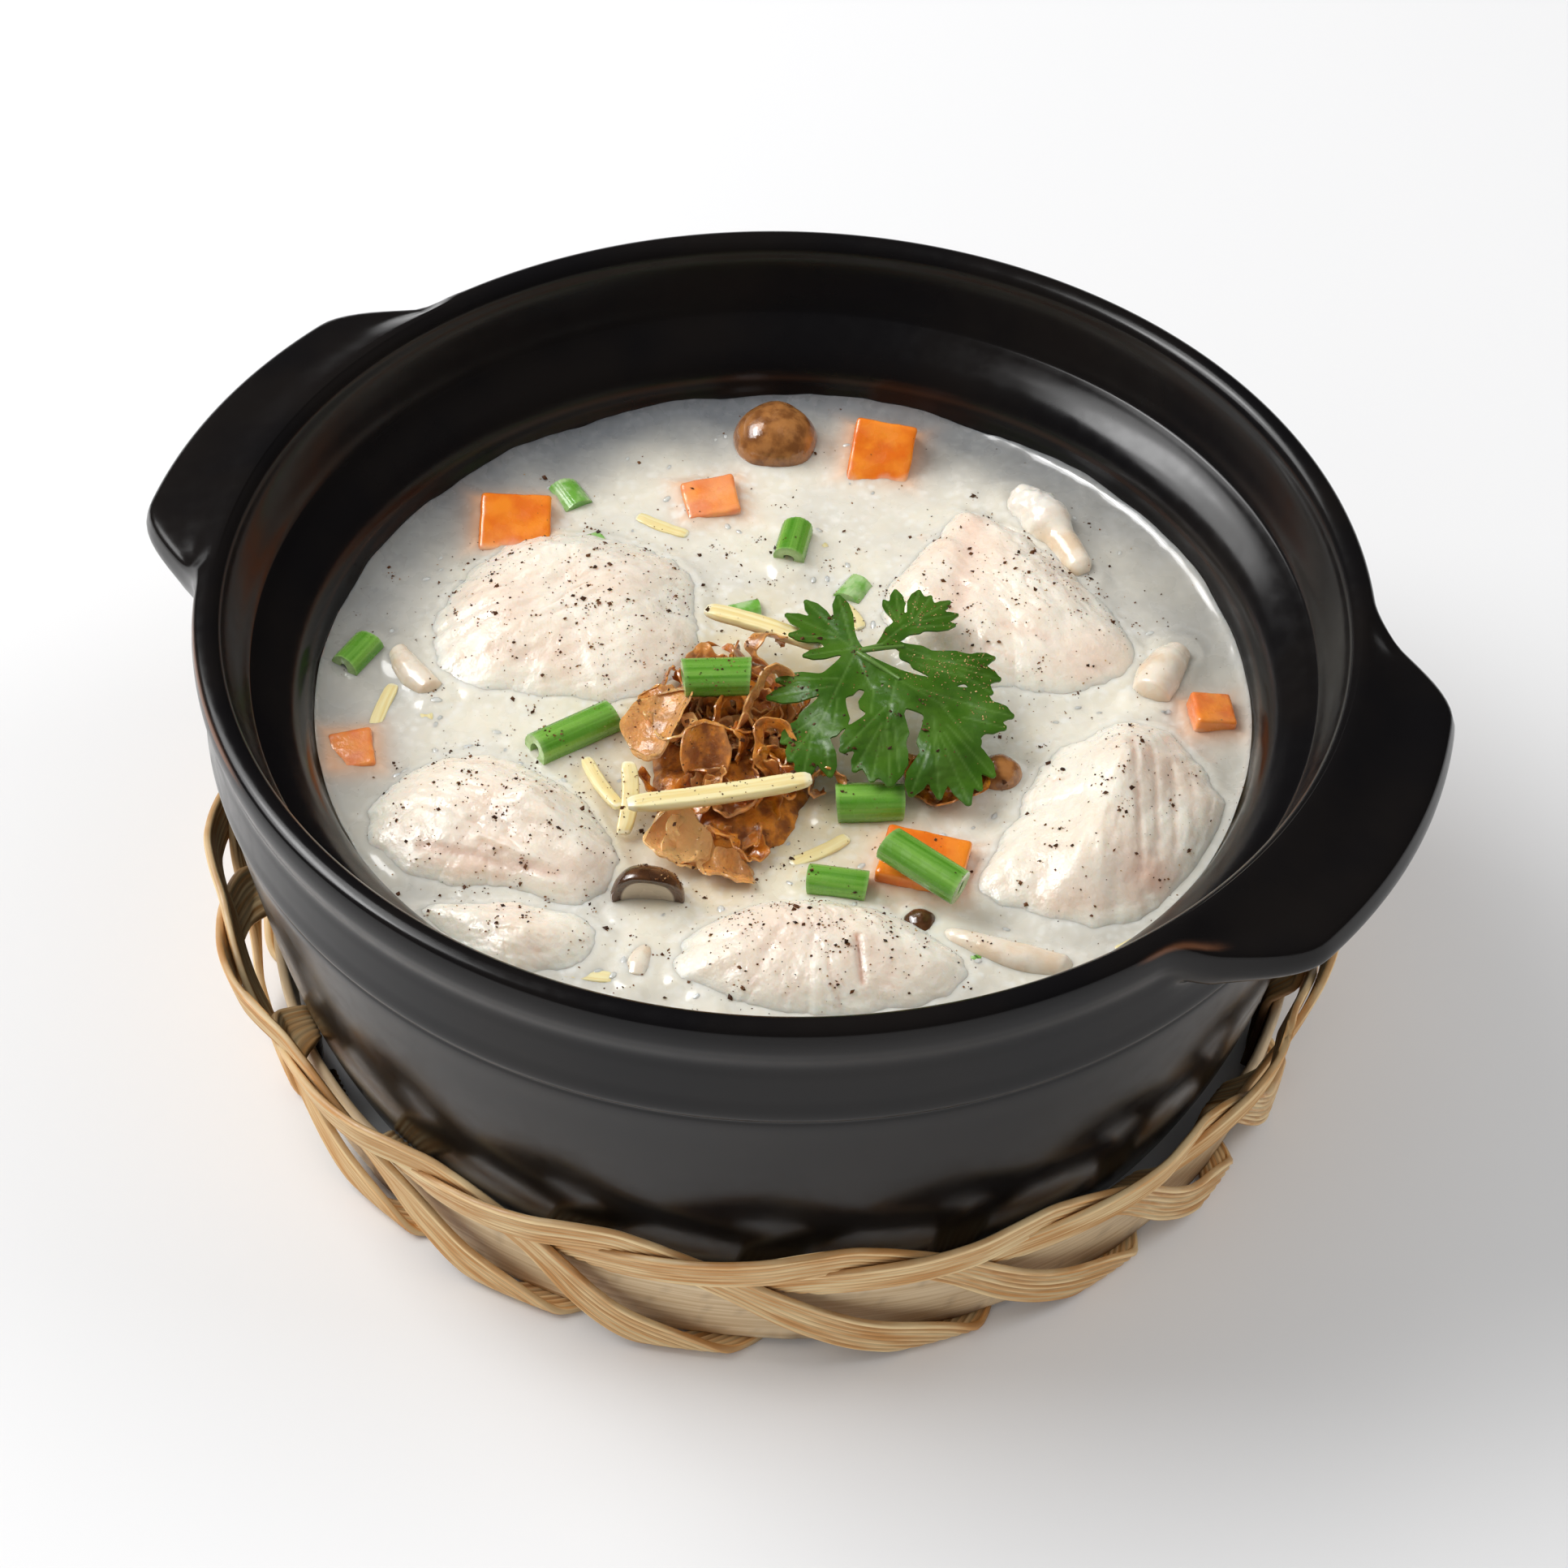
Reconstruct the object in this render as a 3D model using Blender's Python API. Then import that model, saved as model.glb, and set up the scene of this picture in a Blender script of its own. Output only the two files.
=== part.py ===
"""Fish congee in a black clay pot on a woven bamboo ring.

Origin: on the pot's axis, at the surface that the pot and the ring stand on.
+Z is up, +X runs to the eater's right and +Y away from the eater.
Sizes are in millimetres; make_object turns them into metres.
"""

import math

import bmesh
import bpy
from mathutils import Vector

MM = 0.001                  # Blender units in a millimetre
GAP = 0.35                  # clearance between pieces that touch
POCKET_GAP = 0.44           # clearance of a pocket, before its facets take some of it

# Clay pot
SEAT_HEIGHT = 73.3          # inner edge of the lid seat, above the table
SEAT_RADIUS = 86.0
BAND_FOOT = 73.2            # height where the band stands on the body
BAND_RADIUS = 103.6         # upright band under the rim
BODY_RADIUS = 103.1         # body just under the band
BODY_TAPER = 0.161          # radius lost for each millimetre down
BODY_TUCK = 7.0             # further loss at TUCK_DEPTH, growing with its fifth power
TUCK_DEPTH = 70.0
BASE_RADIUS = 76.0
CREST_RADIUS = 102.1        # centre of the rim's rounded top
CREST_ROUND = 2.8
CREST_HEIGHT = 93.7         # height of that centre
FLOOR_THICKNESS = 9.0
INNER_RADIUS = 84.6         # inside of the wall at the congee's level
SEAT_OUTER_RADIUS = 95.2    # where the lid seat meets the rim's inner wall

# The two ears of the pot
EAR_AZIMUTHS = (154.5, -26.5)
EAR_REACH = 15.2            # beyond the band
EAR_FLAT = 14.2             # half angle of the full reach, degrees
EAR_END = 27.2              # half angle where the ear has run out
EAR_TOP = 92.6
EAR_BOTTOM = 83.4

# Bamboo ring
RING_CENTRE = (1.0, 2.5)    # the ring sits a little off the pot's axis
LAPS = 17                   # times that the strip is wound round the hoop
HOOP_BOTTOM_RADIUS = 96.0
HOOP_TOP_RADIUS = 98.0
HOOP_THICKNESS = 1.9
HOOP_LOW = 1.5
HOOP_HIGH = 17.0
BRAID_HEIGHT = 35.5
BRAID_FOOT_RADIUS = 99.6
BRAID_TOP_RADIUS = 106.2
BRAID_THICKNESS = 3.4

# Congee
CONGEE_LEVEL = 68.6
FOOD_FORWARD = 3.2          # the food lies this much nearer the eater than its own layout

COLOURS = {
    "black_glaze": ((0.012, 0.011, 0.012), 0.32),
    "bamboo_strip": ((0.55, 0.33, 0.15), 0.55),
    "bamboo_hoop": ((0.66, 0.49, 0.29), 0.55),
    "congee": ((0.78, 0.77, 0.73), 0.25),
    "fish": ((0.82, 0.74, 0.66), 0.35),
    "carrot": ((0.85, 0.27, 0.04), 0.35),
    "mushroom_cap": ((0.22, 0.10, 0.04), 0.30),
    "mushroom_stem": ((0.72, 0.63, 0.52), 0.40),
    "scallion": ((0.06, 0.26, 0.03), 0.35),
    "cilantro": ((0.02, 0.13, 0.02), 0.45),
    "fried_shallot": ((0.36, 0.14, 0.03), 0.30),
    "ginger": ((0.85, 0.72, 0.36), 0.40),
}


# ---------------------------------------------------------------- helpers

def clear_scene():
    """Remove whatever the opened file holds."""
    for thing in list(bpy.data.objects):
        bpy.data.objects.remove(thing, do_unlink=True)


def material(slot):
    """Return the Principled material of a slot, made on its first use."""
    found = bpy.data.materials.get(slot)
    if found:
        return found
    colour, roughness = COLOURS[slot]
    made = bpy.data.materials.new(slot)
    made.use_nodes = True
    shader = made.node_tree.nodes["Principled BSDF"]
    shader.inputs["Base Color"].default_value = (*colour, 1.0)
    shader.inputs["Roughness"].default_value = roughness
    shader.inputs["Metallic"].default_value = 0.0
    return made


def make_object(name, mesh, slot, place=(0.0, 0.0, 0.0), turn=(0.0, 0.0, 0.0), parent=None):
    """Close a bmesh in millimetres into a named object with its material."""
    bmesh.ops.recalc_face_normals(mesh, faces=mesh.faces)
    bmesh.ops.scale(mesh, vec=(MM, MM, MM), verts=mesh.verts)
    data = bpy.data.meshes.new(name)
    mesh.to_mesh(data)
    mesh.free()
    data.shade_smooth()
    data.set_sharp_from_angle(angle=math.radians(35))
    data.materials.append(material(slot))
    made = bpy.data.objects.new(name, data)
    bpy.context.scene.collection.objects.link(made)
    made.location = [v * MM for v in place]
    made.rotation_euler = [math.radians(v) for v in turn]
    made.parent = parent
    return made


def skin_rings(mesh, rings, start=None, end=None, closed=False):
    """Join rings of equal length; start and end are pole points, closed joins last to first."""
    rows = [[mesh.verts.new(point) for point in ring] for ring in rings]
    count = len(rows[0])
    pairs = list(zip(rows, rows[1:]))
    if closed:
        pairs.append((rows[-1], rows[0]))
    for low, high in pairs:
        for i in range(count):
            j = (i + 1) % count
            mesh.faces.new((low[i], low[j], high[j], high[i]))
    for pole, row in ((start, rows[0]), (end, rows[-1])):
        if pole is not None:
            tip = mesh.verts.new(pole)
            for i in range(count):
                mesh.faces.new((tip, row[i], row[(i + 1) % count]))
    return mesh


def smoothstep(low, high, value):
    """Ease from 0 at low to 1 at high."""
    t = min(1.0, max(0.0, (value - low) / (high - low)))
    return t * t * (3.0 - 2.0 * t)


def polar(radius, degrees, height):
    """Point at a radius, azimuth and height."""
    angle = math.radians(degrees)
    return (radius * math.cos(angle), radius * math.sin(angle), height)


def arc(centre, radius, first, last, steps):
    """Points (radius, height) along a circular arc between two angles in degrees."""
    points = []
    for i in range(steps + 1):
        angle = math.radians(first + (last - first) * i / steps)
        points.append((centre[0] + radius * math.cos(angle), centre[1] + radius * math.sin(angle)))
    return points


# ---------------------------------------------------------------- clay pot

def body_radius(height):
    """Outer radius of the pot's body, which tapers and then tucks in to the base."""
    depth = BAND_FOOT - height
    return BODY_RADIUS - BODY_TAPER * depth - BODY_TUCK * (depth / TUCK_DEPTH) ** 5


def ear_reach(azimuth):
    """How far the rim stands out beyond its band at an azimuth."""
    reach = 0.0
    for centre in EAR_AZIMUTHS:
        off = abs((azimuth - centre + 180.0) % 360.0 - 180.0)
        crown = 1.0 + 0.06 * math.cos(math.radians(off * 4.0))
        reach += EAR_REACH * crown * (1.0 - smoothstep(EAR_FLAT, EAR_END, off))
    return reach


def pot_azimuths():
    """Azimuths of the pot's facets: closer together where an ear runs out."""
    plain = 8.5
    azimuths = set()
    for centre in EAR_AZIMUTHS:
        for off in (0.0, 6.5, 12.5, 16.5, 19.5, 22.5, 27.2):
            azimuths.add(round((centre + off) % 360.0, 3))
            azimuths.add(round((centre - off) % 360.0, 3))
        start = centre + EAR_END
        span = 180.0 - 2.0 * EAR_END
        count = round(span / plain)
        for i in range(1, count):
            azimuths.add(round((start + span * i / count) % 360.0, 3))
    return sorted(azimuths)


def outer_profile():
    """(radius, height) from the edge of the base up to the band under the rim."""
    foot = [(BASE_RADIUS, 0.0), (BASE_RADIUS + 4.2, 1.6)]
    body = [(body_radius(h), h) for h in (6.5, 17.0, 32.0, 52.0, BAND_FOOT - 1.0)]
    band = [(BAND_RADIUS, BAND_FOOT + 0.1), (BAND_RADIUS, EAR_BOTTOM - 2.4)]
    return foot + body + band


def rim_profile():
    """Rim points (radius, height, share of the ear's reach, height in an ear), base of band to crest."""
    return [
        (BAND_RADIUS, 84.0, 0.18, EAR_BOTTOM - 0.4),
        (BAND_RADIUS, 87.2, 0.72, EAR_BOTTOM + 0.2),
        (BAND_RADIUS + 0.9, 89.8, 1.0, EAR_BOTTOM + 3.9),
        (BAND_RADIUS + 1.3, 91.8, 0.96, EAR_TOP - 1.9),
        (BAND_RADIUS + 1.1, 94.4, 0.83, EAR_TOP - 0.1),
        (BAND_RADIUS + 0.3, 95.8, 0.42, EAR_TOP + 0.9),
        (CREST_RADIUS, CREST_HEIGHT + CREST_ROUND, 0.0, CREST_HEIGHT + CREST_ROUND),
    ]


def inner_profile():
    """(radius, height) from the crest's inner side, over the lid seat and down inside to the floor."""
    crest = arc((CREST_RADIUS, CREST_HEIGHT), CREST_ROUND, 130.0, 175.0, 1)
    wall = [(SEAT_OUTER_RADIUS + 1.4, SEAT_HEIGHT + 10.6)]
    seat = [(SEAT_OUTER_RADIUS, SEAT_HEIGHT + 7.4), (SEAT_RADIUS + 3.2, SEAT_HEIGHT + 4.0)]
    lip = [(SEAT_RADIUS + 0.9, SEAT_HEIGHT + 2.2), (SEAT_RADIUS, SEAT_HEIGHT - 0.4)]
    inside = [(INNER_RADIUS, CONGEE_LEVEL), (80.5, 30.0)]
    floor = [(66.0, FLOOR_THICKNESS)]
    return crest + wall + seat + lip + inside + floor


def build_pot(parent):
    """The clay pot in one piece with its rim, lid seat and two ears."""
    azimuths = pot_azimuths()
    rings = []
    for radius, height in outer_profile():
        rings.append([polar(radius, a, height) for a in azimuths])
    for radius, height, share, ear_height in rim_profile():
        ring = []
        for a in azimuths:
            reach = ear_reach(a)
            blend = smoothstep(0.0, 5.0, reach)
            ring.append(polar(radius + share * reach, a, height + (ear_height - height) * blend))
        rings.append(ring)
    for radius, height in inner_profile():
        rings.append([polar(radius, a, height) for a in azimuths])
    mesh = skin_rings(bmesh.new(), rings, (0, 0, 0), (0, 0, FLOOR_THICKNESS))
    return make_object("clay_pot", mesh, "black_glaze", parent=parent)


# ---------------------------------------------------------------- bamboo ring

def build_hoop(parent):
    """Flat bamboo hoop that the strip is wound on."""
    section = [
        (HOOP_BOTTOM_RADIUS, HOOP_LOW),
        (HOOP_TOP_RADIUS, HOOP_HIGH),
        (HOOP_TOP_RADIUS - HOOP_THICKNESS, HOOP_HIGH),
        (HOOP_BOTTOM_RADIUS - HOOP_THICKNESS, HOOP_LOW),
    ]
    steps = 3 * LAPS
    rings = [[polar(r, 360.0 * i / steps, h) for r, h in section] for i in range(steps)]
    mesh = skin_rings(bmesh.new(), rings, closed=True)
    return make_object("ring_hoop", mesh, "bamboo_hoop", place=(*RING_CENTRE, 0.0), parent=parent)


def braid_section(phase):
    """Section (radius, height) of the wound strip at a phase of one lap, 0 to 1."""
    turn = 2.0 * math.pi * phase
    top = BRAID_HEIGHT - 1.3 + 1.3 * math.cos(turn)
    loop = 1.6 - 1.6 * math.cos(turn + 0.8)
    outer = [
        (BRAID_FOOT_RADIUS + loop, 0.0),
        (BRAID_FOOT_RADIUS + 0.8 + loop, 4.0),
        (103.0, 20.0),
        (BRAID_TOP_RADIUS, top - 1.4),
        (BRAID_TOP_RADIUS - 1.0, top),
        (BRAID_TOP_RADIUS - BRAID_THICKNESS, top - 0.8),
    ]
    inner = [
        (HOOP_TOP_RADIUS + 0.9, HOOP_HIGH + 1.2),
        (HOOP_BOTTOM_RADIUS + 0.6, 0.0),
    ]
    return outer + inner


def build_braid(parent):
    """The strip's winding as one solid out to its uneven outline."""
    per_lap = 4
    steps = LAPS * per_lap
    rings = []
    for i in range(steps):
        azimuth = 360.0 * i / steps
        rings.append([polar(r, azimuth, h) for r, h in braid_section(i / per_lap)])
    mesh = skin_rings(bmesh.new(), rings, closed=True)
    return make_object("ring_braid", mesh, "bamboo_strip", place=(*RING_CENTRE, 0.0), parent=parent)


# ---------------------------------------------------------------- food shapes

def on_level(across, away, above=0.0):
    """Place in the pot of a point in the food's layout, at a height above the congee's level."""
    return (across, away - FOOD_FORWARD, CONGEE_LEVEL + above)


def lump_ring(half, waves, share, height, ridge=0.0):
    """Ring of a lump at a share of its outline; a ridge lowers it away from the long axis."""
    sides = 14
    power = 2.6
    ring = []
    for i in range(sides):
        angle = 2.0 * math.pi * i / sides
        c = math.cos(angle)
        s = math.sin(angle)
        square = (abs(c) ** power + abs(s) ** power) ** (-1.0 / power)
        wave = 1.0 + 0.05 * math.sin(waves[0] * angle + waves[1])
        reach = share * square * wave
        drop = ridge * abs(reach * s)
        ring.append((half[0] * reach * c, half[1] * reach * s, height * (1.0 - drop)))
    return ring


def build_lump(name, slot, parent, at, half, turn, height, depth, ridge=0.0, waves=(3, 0.0), top=1.4):
    """Closed rounded lump of food that sits in the congee.

    at and half are its middle and half sizes in plan, height and depth its reach above and
    below the level, ridge the sharpness of its crest, and waves the count and shift of the
    bulges in its outline.
    """
    rings = []
    for share in (0.34, 0.66, 0.9):
        level = height * (1.0 - share ** (2.0 * top)) ** (1.0 / top)
        rings.append(lump_ring(half, waves, share, level, ridge))
    rings.append(lump_ring(half, waves, 1.0, 0.0))
    rings.append(lump_ring(half, waves, 0.86, -0.75 * depth))
    mesh = skin_rings(bmesh.new(), rings, (0, 0, height), (0, 0, -depth))
    return make_object(name, mesh, slot, on_level(*at), (0, 0, turn), parent)


def build_dice(name, slot, parent, at, sides, turn):
    """A cut dice with slightly rounded edges; at is its middle above the congee's level."""
    mesh = bmesh.new()
    bmesh.ops.create_cube(mesh, size=1.0)
    bmesh.ops.scale(mesh, vec=sides, verts=mesh.verts)
    bmesh.ops.bevel(mesh, geom=mesh.edges[:], offset=0.7, segments=1, affect="EDGES")
    return make_object(name, mesh, slot, on_level(*at), turn, parent)


def build_cap(name, parent, at, radius, height, turn):
    """A mushroom's domed cap with its rolled edge."""
    sides = 12
    profile = [(0.5, 0.9), (0.87, 0.52), (1.0, 0.1), (0.88, -0.06)]
    rings = [[polar(radius * r, 360.0 * i / sides, height * z) for i in range(sides)] for r, z in profile]
    mesh = skin_rings(bmesh.new(), rings, (0, 0, height), (0, 0, 0.1 * height))
    return make_object(name, mesh, "mushroom_cap", on_level(*at), turn, parent)


def tube_rings(start, end, radii, bend, sides):
    """Rings of a bent tapered bar between two points, its ends taken in a little."""
    start = Vector(start)
    along = Vector(end) - start
    side = along.cross(Vector((0, 0, 1))).normalized()
    lift = side.cross(along).normalized()
    rings = []
    for i, radius in enumerate(radii):
        t = i / (len(radii) - 1)
        middle = start + along * t + side * bend * math.sin(math.pi * t)
        ring = []
        for k in range(sides):
            angle = 2.0 * math.pi * k / sides
            ring.append(middle + side * (radius * math.cos(angle)) + lift * (radius * math.sin(angle)))
        rings.append(ring)
    return rings, start, Vector(end)


def build_stem(name, parent, start, end, radius, bend):
    """A mushroom's stem, thicker towards its foot; heights count from the congee's level."""
    radii = [radius * r for r in (0.6, 0.86, 1.0, 0.7)]
    rings, first, last = tube_rings(start, end, radii, bend, 8)
    mesh = skin_rings(bmesh.new(), rings, first, last)
    return make_object(name, mesh, "mushroom_stem", on_level(0, 0), parent=parent)


def build_scallion(name, parent, at, length, radius, turn, tilt=0.0):
    """A hollow slice of green scallion, a little flattened."""
    sides = 10
    wall = 1.1
    flat = 0.9
    half = 0.5 * length
    rings = []
    for x, r in ((-half, radius - wall), (-half, radius), (half, radius), (half, radius - wall)):
        ring = []
        for i in range(sides):
            angle = 2.0 * math.pi * i / sides
            ring.append((x, r * math.cos(angle), flat * r * math.sin(angle)))
        rings.append(ring)
    mesh = skin_rings(bmesh.new(), rings, closed=True)
    return make_object(name, mesh, "scallion", on_level(*at), (0, tilt, turn), parent)


def build_shred(name, parent, start, end, width, thickness, bend):
    """A cut shred of ginger; heights count from the congee's level."""
    start = Vector(start)
    along = Vector(end) - start
    side = along.cross(Vector((0, 0, 1))).normalized()
    lift = side.cross(along).normalized()
    rings = []
    for t, share in ((0.0, 0.6), (0.12, 0.95), (0.5, 1.0), (0.88, 0.9), (1.0, 0.5)):
        middle = start + along * t + side * bend * math.sin(math.pi * t)
        w = side * (0.5 * width * share)
        h = lift * (0.5 * thickness * share)
        rings.append([middle - w - h, middle + w - h, middle + w + h, middle - w + h])
    mesh = skin_rings(bmesh.new(), rings, start, Vector(end))
    return make_object(name, mesh, "ginger", on_level(0, 0), parent=parent)


def build_cilantro(parent):
    """A cilantro leaf: a thin lobed plate that arches over the garnish."""
    middle = (15.0, 4.0)
    thickness = 0.9
    crown = 13.2
    droop = 0.0062
    leaflets = (
        (-128.0, 24.0, 25.0),
        (-48.0, 33.0, 30.0),
        (12.0, 25.0, 22.0),
        (62.0, 21.0, 19.0),
        (128.0, 20.0, 19.0),
    )
    steps = 48
    outline = []
    for i in range(steps):
        azimuth = 360.0 * i / steps - 180.0
        reach = 4.5
        for centre, length, half in leaflets:
            off = abs((azimuth - centre + 180.0) % 360.0 - 180.0)
            lobe = length * max(0.0, 1.0 - (off / half) ** 2) ** 0.6
            reach = max(reach, lobe * (0.9 + 0.1 * math.cos(math.radians(off * 20.0))))
        outline.append((reach, azimuth))
    rings = []
    for share, face in ((0.45, 1), (1.0, 1), (1.0, -1), (0.45, -1)):
        ring = []
        for reach, azimuth in outline:
            r = reach * share
            ring.append(polar(r, azimuth, crown - droop * r * r + 0.5 * face * thickness))
        rings.append(ring)
    mesh = skin_rings(
        bmesh.new(), rings, (0, 0, crown + 0.5 * thickness), (0, 0, crown - 0.5 * thickness)
    )
    return make_object("cilantro_leaf", mesh, "cilantro", on_level(*middle), parent=parent)


# ---------------------------------------------------------------- congee

def congee_solid(parent):
    """The congee up to its level, with a slightly uneven top, before pockets are cut."""
    azimuths = pot_azimuths()[::2]
    side = [(r - GAP, h) for r, h in inner_profile() if h < CONGEE_LEVEL - 0.1]
    rings = []
    for share in (0.35, 0.75):
        ring = []
        for a in azimuths:
            swell = 0.35 * math.sin(math.radians(3.0 * a) + 9.0 * share)
            ring.append(polar(INNER_RADIUS * share, a, CONGEE_LEVEL + swell))
        rings.append(ring)
    rings.append([polar(INNER_RADIUS - GAP, a, CONGEE_LEVEL) for a in azimuths])
    for radius, height in side:
        lift = GAP if height < FLOOR_THICKNESS + 6.0 else 0.0
        rings.append([polar(radius, a, height + lift) for a in azimuths])
    mesh = skin_rings(bmesh.new(), rings, (0, 0, CONGEE_LEVEL), (0, 0, FLOOR_THICKNESS + GAP))
    return make_object("congee", mesh, "congee", parent=parent)


def cut_pocket(solid, piece):
    """Cut the congee round a piece that sits in it, leaving the clearance."""
    guide = piece.copy()
    guide.data = piece.data.copy()
    guide.name = f"{piece.name}_pocket"
    for vertex in guide.data.vertices:
        vertex.co += vertex.normal * POCKET_GAP * MM
    guide.hide_render = True
    guide.display_type = "WIRE"
    bpy.context.scene.collection.objects.link(guide)
    cut = solid.modifiers.new(guide.name, "BOOLEAN")
    cut.operation = "DIFFERENCE"
    cut.solver = "EXACT"
    cut.object = guide


# ---------------------------------------------------------------- the food

def build_fish(parent):
    """Six poached fillets lying half sunk in the congee."""
    fillets = (
        ((-40.5, 22.0), (24.0, 20.0), 14.0, 9.0, 5.0, 0.10, (3, 0.6)),
        ((42.5, 23.5), (23.5, 15.0), -40.0, 12.5, 5.0, 0.45, (2, 0.4)),
        ((-51.0, -36.0), (23.0, 12.5), -28.0, 10.0, 5.0, 0.20, (3, 2.0)),
        ((-45.4, -57.0), (15.0, 5.2), -26.0, 4.5, 4.0, 0.10, (2, 1.0)),
        ((56.6, -28.6), (22.0, 15.4), 62.0, 12.0, 5.0, 0.30, (3, 1.2)),
        ((6.5, -62.5), (23.0, 12.0), -6.0, 9.0, 5.0, 0.10, (4, 0.2)),
    )
    return [build_lump(f"fish_{i}", "fish", parent, *item) for i, item in enumerate(fillets, 1)]


def build_carrots(parent):
    """Carrot dice, some almost sunk."""
    dice = (
        ((-52.5, 49.0, -3.0), (13.5, 12.5, 12.0), (20, 3, 2)),
        ((17.5, 71.6, -0.9), (12.0, 13.5, 12.0), (38, 5, -8)),
        ((-15.0, 57.0, -2.2), (10.5, 9.5, 9.0), (8, -6, 12)),
        ((77.0, 0.5, -1.0), (7.6, 8.0, 9.0), (0, 10, 8)),
        ((-76.8, -13.5, -2.6), (8.0, 9.0, 8.0), (5, -6, 10)),
        ((24.8, -38.6, -0.6), (15.0, 11.5, 9.0), (4, 3, -12)),
    )
    return [build_dice(f"carrot_{i}", "carrot", parent, *item) for i, item in enumerate(dice, 1)]


def build_mushrooms(parent):
    """Shimeji caps and stems."""
    caps = (
        ((-3.0, 74.4, 0.6), 8.2, 7.2, (0, 0, 0)),
        ((-22.0, -50.5, 0.8), 6.0, 4.6, (26, -8, 0)),
        ((38.8, -16.0, 0.6), 3.9, 3.8, (12, 20, 0)),
        ((24.4, -51.6, -0.6), 3.0, 3.0, (10, -14, 0)),
    )
    stems = (
        ((-71.5, 13.0, 0.4), (-63.5, 1.4, 0.2), 3.0, 0.8),
        ((44.0, 60.5, 1.2), (54.5, 43.0, 1.0), 3.7, -0.8),
        ((73.0, 18.0, 0.8), (66.6, 4.6, 0.6), 4.2, 0.6),
        ((28.5, -54.0, 0.3), (50.0, -61.4, 0.1), 2.5, 0.8),
        ((-22.2, -58.2, -0.6), (-23.8, -66.0, -1.2), 2.7, 0.2),
    )
    made = [build_cap(f"mushroom_cap_{i}", parent, *item) for i, item in enumerate(caps, 1)]
    made += [build_stem(f"mushroom_stem_{i}", parent, *item) for i, item in enumerate(stems, 1)]
    return made


def build_scallions(parent):
    """Scallion slices: some sit in the congee and some lie on other food."""
    slices = (
        ((-37.4, -9.4, 2.0), 16.5, 3.3, 35.0, 0.0),
        ((-12.0, -5.0, 12.6), 12.0, 3.6, 4.0, 0.0),
        ((15.6, -25.4, 2.6), 11.5, 3.7, 4.0, 0.0),
        ((10.2, -44.2, 1.8), 10.0, 2.9, -8.0, 0.0),
        ((24.9, -45.4, 8.0), 15.0, 3.3, -35.0, 6.0),
        ((1.0, 43.5, 1.8), 8.6, 3.0, 80.0, 0.0),
        ((-78.4, 10.4, 1.0), 8.4, 2.9, 62.0, 0.0),
    )
    return [build_scallion(f"scallion_{i}", parent, *item) for i, item in enumerate(slices, 1)]


def build_shallots(parent):
    """The heap of crisp fried shallots and a small clump beside it."""
    heap = build_lump(
        "fried_shallots", "fried_shallot", parent, (-9.0, -10.5), (15.5, 28.0), 0.0, 8.4, 1.6,
        waves=(5, 0.8), top=1.2,
    )
    clump = build_lump(
        "fried_shallot_clump", "fried_shallot", parent, (27.0, -15.6), (7.0, 4.0), 6.0, 3.8, 1.2,
        waves=(3, 0.3), top=1.2,
    )
    return [heap, clump]


def build_ginger(parent):
    """Ginger shreds lying over the shallots and the congee."""
    shreds = (
        ((-26.5, -34.4, 9.8), (5.2, -27.4, 10.2), 3.6, 2.0, 0.6),
        ((-35.0, -16.6, 1.5), (-27.6, -31.0, 1.5), 2.8, 1.6, 0.5),
        ((-25.4, -19.4, 9.6), (-33.6, -26.0, 4.2), 2.8, 1.6, 0.0),
        ((-15.0, 18.6, 9.4), (4.6, 8.8, 9.6), 3.2, 1.8, -0.6),
    )
    return [build_shred(f"ginger_{i}", parent, *item) for i, item in enumerate(shreds, 1)]


def build_food(parent):
    """All the food in the pot; the congee is cut round what sits in it."""
    sunk = build_fish(parent) + build_carrots(parent) + build_mushrooms(parent)
    scallions = build_scallions(parent)
    resting = (1, 4)
    sunk += [piece for i, piece in enumerate(scallions) if i not in resting]
    sunk += build_shallots(parent)
    build_ginger(parent)
    build_cilantro(parent)
    solid = congee_solid(parent)
    for piece in sunk:
        cut_pocket(solid, piece)


def main():
    """Build the whole part round one empty at the pot's axis."""
    clear_scene()
    root = bpy.data.objects.new("congee_pot", None)
    bpy.context.scene.collection.objects.link(root)
    build_pot(root)
    build_hoop(root)
    build_braid(root)
    build_food(root)


main()
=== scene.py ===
"""Fish congee in a black clay pot on a woven bamboo ring: its fine shapes and its finishes.

Sizes are in millimetres and angles in degrees unless a name says otherwise. The origin is on the
pot's axis, on the surface that the pot stands on, with +Y away from the eater.
"""

import logging
import math
import random
from collections.abc import Callable, Iterable, Sequence
from dataclasses import dataclass, field
from enum import Enum

import bmesh
import bpy
import numpy as np
from mathutils import Matrix, Vector, noise
from mathutils.bvhtree import BVHTree


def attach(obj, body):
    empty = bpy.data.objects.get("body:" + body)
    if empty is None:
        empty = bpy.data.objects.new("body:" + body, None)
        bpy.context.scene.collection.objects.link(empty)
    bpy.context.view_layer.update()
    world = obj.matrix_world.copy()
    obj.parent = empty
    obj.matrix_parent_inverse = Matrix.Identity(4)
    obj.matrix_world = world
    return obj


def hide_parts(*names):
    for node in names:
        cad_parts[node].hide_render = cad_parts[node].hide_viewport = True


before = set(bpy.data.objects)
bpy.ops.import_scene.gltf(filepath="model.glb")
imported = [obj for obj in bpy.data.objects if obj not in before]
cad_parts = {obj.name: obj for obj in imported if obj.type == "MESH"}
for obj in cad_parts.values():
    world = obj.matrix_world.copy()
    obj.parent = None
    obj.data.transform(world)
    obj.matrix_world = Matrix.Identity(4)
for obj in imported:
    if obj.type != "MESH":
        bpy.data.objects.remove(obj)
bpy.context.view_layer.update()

LOG = logging.getLogger("congee_pot")
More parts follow.
